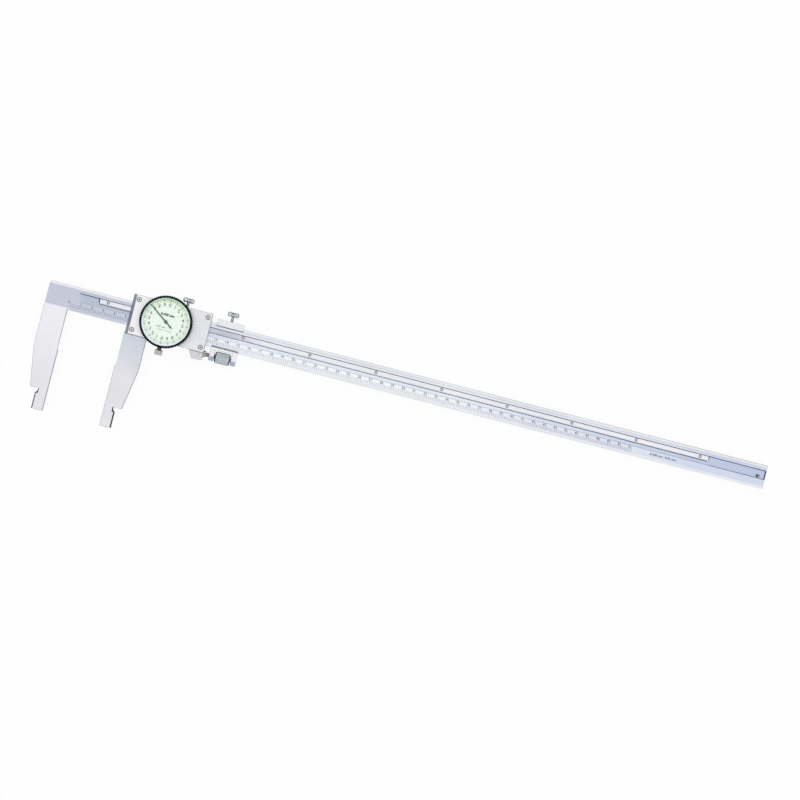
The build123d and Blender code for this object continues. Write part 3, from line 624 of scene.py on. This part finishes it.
def makeGrooveOil():
    bm = bmesh.new()
    floor = rackLow[2]
    addSeam(bm, shadeLine["wallStart"], shadeLine["end"], rackHigh[1] + shadeLine["wall"] / 2,
            floor, shadeLine["wall"])
    addSeam(bm, shadeLine["lowStart"], shadeLine["end"], shadeLine["lowWall"] + shadeLine["low"] / 2,
            floor, shadeLine["low"])
    addSeam(bm, rackLow[0], rackHigh[0], rackLow[1] - shadeLine["teeth"] / 2, floor,
            shadeLine["teeth"])
    y = (rackLow[1] + rackHigh[1]) / 2 + shadeLine["endRise"]
    for x, width, thick in ((rackLow[0], -shadeLine["nearEnd"], shadeLine["nearThick"]),
                            (rackHigh[0], shadeLine["farEnd"], shadeLine["thick"])):
        spot = Matrix.Translation((x + width / 2, y, floor))
        addBar(bm, spot, (abs(width), shadeLine["endWidth"], thick))
    finishPiece("grooveShade", bm, [darkInkAndShade], "beam")


# painted shadow along the cover's lower edge
def makeCoverOil():
    bm = bmesh.new()
    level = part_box("slider_body")[1][2] - shadeLine["coverDrop"]
    y = coverLow[1] - shadeLine["cover"] / 2
    addSeam(bm, coverLow[0], shadeLine["jawEnd"], y, level, shadeLine["cover"])
    addSeam(bm, shadeLine["lugStart"], coverHigh[0] - shadeLine["corner"], y, level,
            shadeLine["cover"])
    finishPiece("coverShadowLine", bm, [coverEdgeShadow], "slider")


makeGrooveOil()
makeCoverOil()
# these lines are painted shade
print("oil seams made")


# Dial: a hundred lines, and 0 to 9 twice round, clockwise from the top

dialPrint = {"count": 100, "outer": 19.6 * mm, "short": 1.6 * mm, "long": 2.5 * mm,
             "wide": 0.5 * mm, "narrow": 0.16 * mm, "thick": 0.01 * mm, "circle": 17.1 * mm,
             "circleWidth": 0.12 * mm, "circleSteps": 96, "figures": 20,
             "figureRadius": 14.7 * mm, "figureHeight": 2.8 * mm, "titleHeight": 2.0 * mm,
             "titleX": 0.2 * mm, "titleRise": 6.2 * mm, "titleBold": 0.09,
             "markHeight": 1.6 * mm, "markX": -3.2 * mm, "markDrop": 4.9 * mm,
             "noteDrop": 7.3 * mm}
dialTop = dialHigh[2]


def aroundDial(turn, radius):  # turn goes clockwise from the top
    return Matrix.Translation((dialCentre.x, dialCentre.y, dialTop)) @ Matrix.Rotation(
        -turn * 2 * math.pi, 4, "Z") @ Matrix.Translation((0, radius, 0))


def onDial(x, y):  # a place for print, from the dial's centre
    return Matrix.Translation((dialCentre.x + x, dialCentre.y + y,
                               dialTop + dialPrint["thick"]))


def makeDialLines():
    bm = bmesh.new()
    for i in range(dialPrint["count"]):
        length = dialPrint["short"] if i % 5 else dialPrint["long"]
        place = aroundDial(i / dialPrint["count"], dialPrint["outer"] - length / 2)
        width = dialPrint["narrow"] if i % 5 else dialPrint["wide"]
        addBar(bm, place, (width, length, dialPrint["thick"]))
    near = dialPrint["circle"]
    far = near + dialPrint["circleWidth"]
    half = dialPrint["thick"] / 2
    circle = turnedPart([(near, -half), (far, -half), (far, half), (near, half)],
                        dialPrint["circleSteps"])
    joinInto(bm, circle, aroundDial(0, 0))
    finishPiece("dialLines", bm, [dialLineInk], "bezel_ring")


def makeDialFigures():
    bm = bmesh.new()
    for i in range(dialPrint["figures"]):
        spot = aroundDial(i / dialPrint["figures"], dialPrint["figureRadius"]).translation
        place = Matrix.Translation((spot.x, spot.y, dialTop + dialPrint["thick"]))
        addText(bm, str(i % 10), dialPrint["figureHeight"], place)
    addText(bm, "0.02 mm", dialPrint["markHeight"],
            onDial(dialPrint["markX"], -dialPrint["markDrop"]))
    finishPiece("dialFigures", bm, [dialInk], "bezel_ring")


def makeDialWords(name, words, height, place, ink, bold=lettering["bold"]):
    bm = bmesh.new()
    addText(bm, words, height, place, bold)
    finishPiece(name, bm, [ink], "bezel_ring")


makeDialLines()
makeDialFigures()
makeDialWords("dialTitle", "0-500 mm", dialPrint["titleHeight"],
              onDial(dialPrint["titleX"], dialPrint["titleRise"]), dialDarkInk,
              dialPrint["titleBold"])
makeDialWords("dialNote", "1 rev = 2 mm", dialPrint["markHeight"],
              onDial(0, -dialPrint["noteDrop"]), dialPaleInk)
print("dial made")


# Bezel: a black ring with fine straight knurling

bezelRing = {"knurls": 72, "crest": 0.5 * mm, "depth": 0.75 * mm, "margin": 1.2 * mm,
             "round": 0.4 * mm, "rim": 1.8 * mm, "ledge": 0.4 * mm, "lip": 0.2 * mm,
             "caseLand": 1.25 * mm}
dialRing = {"slope": 1.25 * mm, "edge": 0.1 * mm, "rise": 0.8 * mm, "steps": 96, "smooth": 30}


def makeBezelRing():
    low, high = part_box("bezel")
    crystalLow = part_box("crystal")[0][2]
    plain = (high[0] - low[0]) / 2
    outer = plain + bezelRing["crest"]
    wall = outer - bezelRing["depth"]
    bore = plain - bezelRing["rim"]
    seat = bore + bezelRing["ledge"]
    caseBore = bore - bezelRing["caseLand"]
    corner = bezelRing["round"]
    margin = bezelRing["margin"]
    profile = [  # up the knurled outside, over the top, and down past the crystal's seat
        (caseBore, low[2]), (wall - corner, low[2]), (wall, low[2] + corner),
        (wall, low[2] + margin), (outer, low[2] + margin + bezelRing["depth"]),
        (outer, high[2] - margin - bezelRing["depth"]), (wall, high[2] - margin),
        (wall, high[2] - corner), (wall - corner, high[2]),
        (seat + bezelRing["lip"], high[2]), (seat, high[2] - bezelRing["lip"]),
        (seat, crystalLow), (bore, crystalLow), (bore, dialLow[2]), (caseBore, dialLow[2])]
    bm = bmesh.new()
    ring = turnedPart(profile, 2 * bezelRing["knurls"])
    pressRibs(ring, bezelRing["knurls"], (wall + outer) / 2, bezelRing["depth"])
    joinInto(bm, ring, dialAxis)
    piece = finishPiece("bezelRing", bm, [blackAnodised], "bezel_ring")
    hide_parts("bezel")


def makeDialRing():
    low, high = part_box("dial_ring")
    outer = (high[0] - low[0]) / 2
    edge = dialRing["edge"]
    profile = [(outer, low[2]), (outer, high[2]), (outer - edge, high[2]),
               (outer - edge, low[2] + dialRing["rise"]), (outer - dialRing["slope"], low[2])]
    bm = bmesh.new()
    joinInto(bm, turnedPart(profile, dialRing["steps"]), dialAxis)
    piece = finishPiece("dialRing", bm, [polishedRingReflection], "bezel_ring",
                        dialRing["smooth"])
    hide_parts("dial_ring")


makeBezelRing()
makeDialRing()
print("bezel made")


# Pointer: a pressed blade with a raised middle, and a domed boss over its hub

pointerBlade = {"turn": 144, "tip": 19.9 * mm, "tipHalf": 0.4 * mm, "rootHalf": 0.55 * mm,
                "neck": 0.35 * mm, "tail": 8.0 * mm, "tailWide": 6.2 * mm,
                "tailHalf": 0.75 * mm, "thick": 0.3 * mm, "bevel": 0.2 * mm,
                "crown": 0.12 * mm, "boss": 1.45 * mm, "bossRise": 0.3 * mm,
                "bossEdge": 0.3 * mm, "domeShare": 0.8, "flatShare": 0.4, "bossSteps": 32,
                "smooth": 30}


def makePointer():
    low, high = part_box("pointer")
    blade = pointerBlade
    oneSide = [(blade["tip"], blade["tipHalf"]), (0, blade["rootHalf"]),
               (-blade["boss"], blade["neck"]), (-blade["tailWide"], blade["tailHalf"])]
    outline = [oneSide[0], *((x, -y) for x, y in oneSide), (-blade["tail"], 0),
               *reversed(oneSide[1:])]
    pressed = bmesh.new()
    sheet = pressed.faces.new([pressed.verts.new((x, y, low[2])) for x, y in outline])
    grown = bmesh.ops.extrude_face_region(pressed, geom=[sheet])["geom"]
    top = [item for item in grown if isinstance(item, bmesh.types.BMFace)]
    bmesh.ops.translate(pressed, vec=(0, 0, blade["thick"]),
                        verts=[v for v in grown if isinstance(v, bmesh.types.BMVert)])
    bmesh.ops.inset_region(pressed, faces=top, thickness=blade["bevel"],
                           depth=blade["crown"], use_even_offset=True)
    bm = bmesh.new()
    joinInto(bm, pressed, dialAxis @ Matrix.Rotation(math.radians(blade["turn"]), 4, "Z"))
    radius = blade["boss"]
    rise = high[2] + blade["bossRise"]
    boss = turnedPart([(0, low[2]), (radius, low[2]), (radius, high[2] - blade["bossEdge"]),
                       (blade["domeShare"] * radius, high[2]),
                       (blade["flatShare"] * radius, rise), (0, rise)], blade["bossSteps"])
    joinInto(bm, boss, dialAxis)
    piece = finishPiece("pointerBlade", bm, [greenEnamel], "pointer_arbor",
                        blade["smooth"])
    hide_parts("pointer")


makePointer()
print("pointer made")


# Wing screws: two dished lobes on a turned stem, fused as a casting is

wingScrew = {"lobe": 2.2 * mm, "thick": 1.4 * mm, "lobeSteps": (32, 20), "flatness": 0.55,
             "dish": 0.12, "dishReach": 0.5, "webLength": 3.4 * mm, "webHeight": 1.9 * mm,
             "webThick": 1.25 * mm, "webSteps": (24, 16), "stem": 1.15 * mm, "stemSteps": 32,
             "voxel": 0.15 * mm, "soften": 5}


def addLobe(bm, place):  # a ball pressed to a flat round lobe, dished in its middle
    part = bmesh.new()
    around, across = wingScrew["lobeSteps"]
    bmesh.ops.create_uvsphere(part, u_segments=around, v_segments=across, radius=1.0)
    for vert in part.verts:
        away = math.hypot(vert.co.x, vert.co.y)
        flat = math.copysign(abs(vert.co.z) ** wingScrew["flatness"], vert.co.z)
        hollow = wingScrew["dish"] * math.exp(-(away / wingScrew["dishReach"]) ** 2)
        vert.co.z = flat * (1 - hollow)
    size = Matrix.Diagonal((wingScrew["lobe"], wingScrew["lobe"], wingScrew["thick"], 1))
    joinInto(bm, part, place @ size)


def makeWingScrew(name, node, body):
    low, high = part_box(node)
    centre = middle(node)
    headY = high[1] - wingScrew["lobe"]
    reach = (high[0] - low[0]) / 2 - wingScrew["lobe"]
    bm = bmesh.new()
    for side in (-1, 1):
        addLobe(bm, Matrix.Translation((centre.x + side * reach, headY, centre.z)))
    web = bmesh.new()
    around, across = wingScrew["webSteps"]
    bmesh.ops.create_uvsphere(web, u_segments=around, v_segments=across, radius=1.0)
    joinInto(bm, web, Matrix.Translation((centre.x, headY, centre.z)) @ Matrix.Diagonal(
        (wingScrew["webLength"], wingScrew["webHeight"], wingScrew["webThick"], 1)))
    stem = headY - low[1]
    shaft = turnedPart([(0, 0), (wingScrew["stem"], 0), (wingScrew["stem"], stem),
                        (0, stem)], wingScrew["stemSteps"])
    joinInto(bm, shaft, Matrix.Translation((centre.x, low[1], centre.z)) @ layAlongY)
    piece = finishPiece(name, bm, [thumbChrome], body)
    fuse = piece.modifiers.new("fuse", "REMESH")
    fuse.mode = "VOXEL"
    fuse.voxel_size = wingScrew["voxel"]
    fuse.use_smooth_shade = True
    soften = piece.modifiers.new("soften", "SMOOTH")
    soften.iterations = wingScrew["soften"]
    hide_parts(node)


makeWingScrew("lockWings", "slider_lock_screw", "lock_screw")
makeWingScrew("clampWings", "clamp_lock_screw", "clamp_screw")
print("wing screws made")


# Ribbed knobs: the bezel clamp's knob and the fine adjusting nut, and the clamp's brass shoe

clampKnob = {"ribs": 26, "depth": 0.25 * mm, "edge": 0.55 * mm, "shoulder": 1.3 * mm,
             "length": 5.2 * mm, "neck": 1.15 * mm, "dish": 0.4 * mm}
fineNut = {"ribs": 32, "depth": 0.3 * mm, "edge": 1.2 * mm, "bore": 2.1 * mm,
           "inside": 0.5 * mm, "short": 0.6 * mm, "shadedShare": 0.9}
brassShoe = {"width": 3.6 * mm, "round": 0.3 * mm, "roundSteps": 3, "smooth": 40,
             "foot": 3.4 * mm, "wall": 1.4 * mm}


def makeClampKnob():
    low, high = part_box("bezel_clamp_screw")
    centre = middle("bezel_clamp_screw")
    outer = (high[0] - low[0]) / 2
    length = clampKnob["length"]
    edge = clampKnob["edge"]
    stem = high[1] - low[1]
    # Dished end, rim, ribbed barrel, sloping shoulder and plain stem
    profile = [(0, clampKnob["dish"]), (outer - 3 * edge, clampKnob["dish"]),
               (outer - 2 * edge, 0), (outer - edge, 0), (outer, edge),
               (outer, length - clampKnob["shoulder"]),
               (outer - clampKnob["shoulder"], length), (clampKnob["neck"], length),
               (clampKnob["neck"], stem), (0, stem)]
    bm = bmesh.new()
    knob = turnedPart(profile, 2 * clampKnob["ribs"])
    pressRibs(knob, clampKnob["ribs"], outer - edge / 2, clampKnob["depth"])
    joinInto(bm, knob, Matrix.Translation((centre.x, low[1], centre.z)) @ layAlongY)
    piece = finishPiece("clampKnob", bm, [knobChrome], "bezel_clamp")
    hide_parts("bezel_clamp_screw")


def ribbedSleeve(kind, outer, length):  # bored through, ribbed, and chamfered at both ends
    edge = kind["edge"]
    sleeve = turnedPart([(kind["bore"], 0), (outer - edge, 0), (outer, edge),
                         (outer, length - edge), (outer - edge, length),
                         (kind["bore"], length)], 2 * kind["ribs"])
    pressRibs(sleeve, kind["ribs"], outer - edge / 2, kind["depth"])
    return sleeve


def makeFineNut():
    low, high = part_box("fine_nut")
    centre = middle("fine_nut")
    outer = (high[2] - low[2]) / 2 - fineNut["inside"]
    start = low[0] + fineNut["short"]
    length = high[0] - fineNut["short"] - start
    bm = bmesh.new()
    joinInto(bm, ribbedSleeve(fineNut, outer, length),
             Matrix.Translation((start, centre.y, centre.z)) @ layAlongX)
    shadedReach = fineNut["shadedShare"] * fineNut["edge"]
    for face in bm.faces:  # painted shade on both chamfers
        spot = face.calc_center_median().x - start
        if spot < shadedReach or spot > length - shadedReach:
            face.material_index = 1
    piece = finishPiece("fineNut", bm, [nutChrome, darkInkAndShade], "adjusting_nut")
    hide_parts("fine_nut")


def makeBrassShoe():
    low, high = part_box("bezel_clamp_shoe")
    centre = middle("bezel_clamp_shoe")
    bm = bmesh.new()
    # A foot that slides under the bezel, and an upright that presses on its rim
    parts = ((high[1] - low[1], brassShoe["foot"]), (brassShoe["wall"], high[2] - low[2]))
    for length, height in parts:
        spot = Matrix.Translation((centre.x, low[1] + length / 2, low[2] + height / 2))
        addBar(bm, spot, (brassShoe["width"], length, height))
    bmesh.ops.bevel(bm, geom=bm.edges[:], offset=brassShoe["round"], offset_type="OFFSET",
                    affect="EDGES", segments=brassShoe["roundSteps"], profile=0.5,
                    material=-1)
    piece = finishPiece("brassShoe", bm, [shoeBrass], "slider",
                        brassShoe["smooth"])
    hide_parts("bezel_clamp_shoe")


makeClampKnob()
makeFineNut()
makeBrassShoe()
print("knobs made")


# Fine adjusting screw: a rolled thread, and a ribbed collar against the slider

fineThread = {"pitch": 0.6 * mm, "depth": 0.3 * mm, "end": 0.4 * mm, "steps": 24}
fineCollar = {"ribs": 18, "depth": 0.3 * mm, "edge": 0.4 * mm, "bore": 1.9 * mm}


def makeFineThread():
    low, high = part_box("fine_screw")
    centre = middle("fine_screw")
    outer = (high[2] - low[2]) / 2
    root = outer - fineThread["depth"]
    length = high[0] - low[0]
    pitch = fineThread["pitch"]
    turns = int((length - 2 * fineThread["end"]) / pitch)
    profile = [(0, 0), (root, 0)]
    for i in range(turns):
        start = fineThread["end"] + i * pitch
        profile += [(outer, start), (root, start + pitch / 2)]
    profile += [(root, length), (0, length)]
    bm = bmesh.new()
    joinInto(bm, turnedPart(profile, fineThread["steps"]),
             Matrix.Translation((low[0], centre.y, centre.z)) @ layAlongX)
    piece = finishPiece("fineThread", bm, [threadSteel], "slider")
    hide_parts("fine_screw")


def makeFineCollar():
    low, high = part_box("fine_screw_collar")
    centre = middle("fine_screw_collar")
    outer = (high[2] - low[2]) / 2
    wall = outer - fineCollar["edge"]
    bm = bmesh.new()
    joinInto(bm, ribbedSleeve(fineCollar, outer, high[0] - low[0]),
             Matrix.Translation((low[0], centre.y, centre.z)) @ layAlongX)
    for face in bm.faces:  # every other flute is dark brown: dried oil, and painted shade of the knurl
        spot = face.calc_center_median() - Vector((low[0], centre.y, centre.z))
        column = math.floor(math.atan2(spot.z, spot.y) / math.pi * fineCollar["ribs"] / 2)
        if column % 2 and math.hypot(spot.y, spot.z) > wall:
            face.material_index = 1
    piece = finishPiece("fineCollar", bm, [screwSteel, recessPatinaAndShade], "slider")
    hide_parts("fine_screw_collar")


makeFineThread()
makeFineCollar()
print("fine screw made")


# Small screws: domed heads with a cross recess, dark round them and in the recess with dried oil
# and painted shade. A rise is how far the head's middle stands above its dark ring, and the head
# falls off by shares of it.

coverHeads = {"name": "coverScrewHeads", "radius": 2.0 * mm, "head": 1.2 * mm,
              "shank": 1.2 * mm, "rise": 0.14 * mm, "ring": 1.5 * mm, "cross": 0.8 * mm,
              "crossWidth": 0.7 * mm, "crossDepth": 0.5 * mm}
rackHeads = {"name": "rackScrewHeads", "radius": 1.3 * mm, "head": 1.5 * mm,
             "shank": 1.25 * mm, "rise": 0.1 * mm, "ring": 0.78 * mm, "cross": 0.4 * mm,
             "crossWidth": 0.13 * mm, "crossDepth": 0.4 * mm, "count": 10}
stopHead = {"name": "stopScrewHead", "radius": 1.25 * mm, "head": 3.5 * mm,
            "shank": 0.9 * mm, "rise": 0.15 * mm, "ring": 0.8 * mm, "cross": 0.95 * mm,
            "crossWidth": 0.35 * mm, "crossDepth": 0.4 * mm}
headShape = {"steps": 28, "domeAt": 0.5, "domeFall": 0.2, "shoulder": 0.5, "shoulderFall": 2,
             "rimFall": 3, "recess": 2.5, "seed": 7}


def takeOut(piece, cutter):  # cuts one mesh out of a piece and keeps the result
    tool = makeObject("cutter", cutter, [])
    mesh = tool.data
    cut = piece.modifiers.new("cut", "BOOLEAN")
    cut.operation = "DIFFERENCE"
    cut.solver = "EXACT"
    cut.object = tool
    bpy.context.view_layer.update()
    shaped = piece.evaluated_get(bpy.context.evaluated_depsgraph_get())
    result = bpy.data.meshes.new_from_object(shaped)
    piece.modifiers.clear()
    piece.data = result
    bpy.data.objects.remove(tool)
    bpy.data.meshes.remove(mesh)


def makeScrewHeads(kind, node, places, body):
    low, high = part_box(node)
    top = high[2]
    foot = low[2] - top
    radius = kind["radius"]
    rise = kind["rise"]
    profile = [(0, 0), (headShape["domeAt"] * radius, -headShape["domeFall"] * rise),
               (kind["ring"], -rise),
               (radius - headShape["shoulder"] * rise, -headShape["shoulderFall"] * rise),
               (radius, -headShape["rimFall"] * rise), (radius, -kind["head"]),
               (kind["shank"], -kind["head"]), (kind["shank"], foot), (0, foot)]
    turns = random.Random(headShape["seed"])
    bm = bmesh.new()
    slots = [bmesh.new(), bmesh.new()]
    for x, y in places:
        spot = Matrix.Translation((x, y, top))
        joinInto(bm, turnedPart(profile, headShape["steps"]), spot)
        angle = turns.uniform(0, math.pi)
        for slot, quarter in zip(slots, (0, math.pi / 2)):
            turn = Matrix.Rotation(angle + quarter, 4, "Z")
            addBar(slot, spot @ turn, (2 * kind["cross"], kind["crossWidth"],
                                       2 * kind["crossDepth"]))
    piece = finishPiece(kind["name"], bm, [screwSteel, recessPatinaAndShade], body)
    for slot in slots:
        takeOut(piece, slot)
    # the ring round each head and the deep recess are dark brown: dried oil and painted shade
    for face in piece.data.polygons:
        away = min(math.hypot(face.center.x - x, face.center.y - y) for x, y in places)
        deep = face.center.z < top - headShape["recess"] * rise and away < kind["cross"]
        if away > kind["ring"] or deep:
            face.material_index = 1
    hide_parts(node)


def cornerPlaces(node, radius):
    low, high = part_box(node)
    return [(x, y) for x in (low[0] + radius, high[0] - radius)
            for y in (low[1] + radius, high[1] - radius)]


def rowPlaces(node, radius, count):
    low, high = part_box(node)
    first = low[0] + radius
    pitch = (high[0] - radius - first) / (count - 1)
    return [(first + i * pitch, (low[1] + high[1]) / 2) for i in range(count)]


makeScrewHeads(coverHeads, "cover_screws", cornerPlaces("cover_screws", coverHeads["radius"]),
               "slider")
makeScrewHeads(rackHeads, "rack_screws",
               rowPlaces("rack_screws", rackHeads["radius"], rackHeads["count"]), "beam")
stopSpot = middle("stop_screw")
makeScrewHeads(stopHead, "stop_screw", [(stopSpot.x, stopSpot.y)], "beam")
print("small screws made")


# Floor, light and camera

floorCard = {"colour": "#f6f6f6", "backdrop": 0.93, "glow": 1.0, "size": 6.0, "middle": 0.3,
             "gap": 0.1 * mm}
lightTent = {"horizon": "#8d96a4", "zenith": "#ffffff", "top": 0.7, "strength": 1.0}
plainWhite = {"colour": "#ffffff", "strength": 1.0, "backdrop": 1.0}


def backdropShare(tree, share):  # how much of plain white the camera, metal and glass see
    path = addNode(tree, "ShaderNodeLightPath")
    two = addNode(tree, "ShaderNodeMath", {"operation": "ADD"},
                  {0: path.outputs["Is Camera Ray"], 1: path.outputs["Is Glossy Ray"]})
    three = addNode(tree, "ShaderNodeMath", {"operation": "ADD", "use_clamp": True},
                    {0: two.outputs[0], 1: path.outputs["Is Transmission Ray"]})
    part = addNode(tree, "ShaderNodeMath", {"operation": "MULTIPLY", 1: share},
                   {0: three.outputs[0]})
    return part.outputs[0]


def makeFloor():
    # Pale card just under the object: it keeps a soft shadow, and is otherwise seen as white
    material, tree = newMaterial("paleFloor")
    card = addNode(tree, "ShaderNodeBsdfDiffuse", {"Color": hexToLinear(floorCard["colour"])})
    glow = addNode(tree, "ShaderNodeEmission", {"Strength": floorCard["glow"]})
    mixed = addNode(tree, "ShaderNodeMixShader", links={
        0: backdropShare(tree, floorCard["backdrop"]), 1: card.outputs[0],
        2: glow.outputs[0]})
    closeMaterial(tree, mixed)
    level = cadBox[0][2] - floorCard["gap"]
    bm = bmesh.new()
    bmesh.ops.create_grid(bm, x_segments=1, y_segments=1, size=floorCard["size"],
                          matrix=Matrix.Translation((floorCard["middle"], 0, level)))
    floor = makeObject("floor", bm, [material])


def makeWorld():
    # Light tent: darker towards the horizon for matt surfaces. The camera sees plain white in
    # its place, and so do metal and glass.
    world = bpy.data.worlds.new("lightTent")
    bpy.context.scene.world = world
    world.use_nodes = True
    tree = world.node_tree
    tree.nodes.clear()
    coords = addNode(tree, "ShaderNodeTexCoord")
    parts = addNode(tree, "ShaderNodeSeparateXYZ", links={"Vector": coords.outputs["Generated"]})
    colour = twoColours(tree, parts.outputs["Z"], lightTent["horizon"], lightTent["zenith"],
                        lightTent["top"])
    tent = addNode(tree, "ShaderNodeBackground", {"Strength": lightTent["strength"]},
                   {"Color": colour})
    white = addNode(tree, "ShaderNodeBackground",
                    {"Color": hexToLinear(plainWhite["colour"]),
                     "Strength": plainWhite["strength"]})
    mixed = addNode(tree, "ShaderNodeMixShader", links={
        0: backdropShare(tree, plainWhite["backdrop"]), 1: tent.outputs[0],
        2: white.outputs[0]})
    addNode(tree, "ShaderNodeOutputWorld", links={"Surface": mixed.outputs[0]})


def addLamp(name, settings):
    light = bpy.data.lights.new(name, "AREA")
    light.shape = "DISK"
    light.size = settings["size"]
    light.energy = settings["power"]
    light.color = hexToLinear(settings["colour"])[:3]
    lamp = bpy.data.objects.new(name, light)
    lamp.location = settings["place"]
    lamp.visible_glossy = False  # metal mirrors the white tent alone, from every side
    aim = Vector(settings["aim"]) - Vector(settings["place"])
    lamp.rotation_euler = aim.to_track_quat("-Z", "Y").to_euler()
    bpy.context.scene.collection.objects.link(lamp)


keyLamp = {"size": 1.6, "power": 15, "colour": "#fffaf2", "place": (-1.7, 0.9, 2.0),
           "aim": (0.25, 0, 0)}
cameraView = {"place": (0.1631, -0.0132, 1.5), "turn": (-1.35, -5.03, 14.53), "lens": 76.53,
              "sensor": 36, "near": 0.01}


def makeCamera():
    camera = bpy.data.cameras.new("camera")
    camera.lens = cameraView["lens"]
    camera.sensor_width = cameraView["sensor"]
    camera.clip_start = cameraView["near"]
    holder = bpy.data.objects.new("camera", camera)
    holder.location = cameraView["place"]
    holder.rotation_euler = [math.radians(a) for a in cameraView["turn"]]
    bpy.context.scene.collection.objects.link(holder)
    bpy.context.scene.camera = holder


makeFloor()
makeWorld()
addLamp("keyLamp", keyLamp)
makeCamera()
bpy.context.scene.view_settings.view_transform = "Standard"
print("studio made")
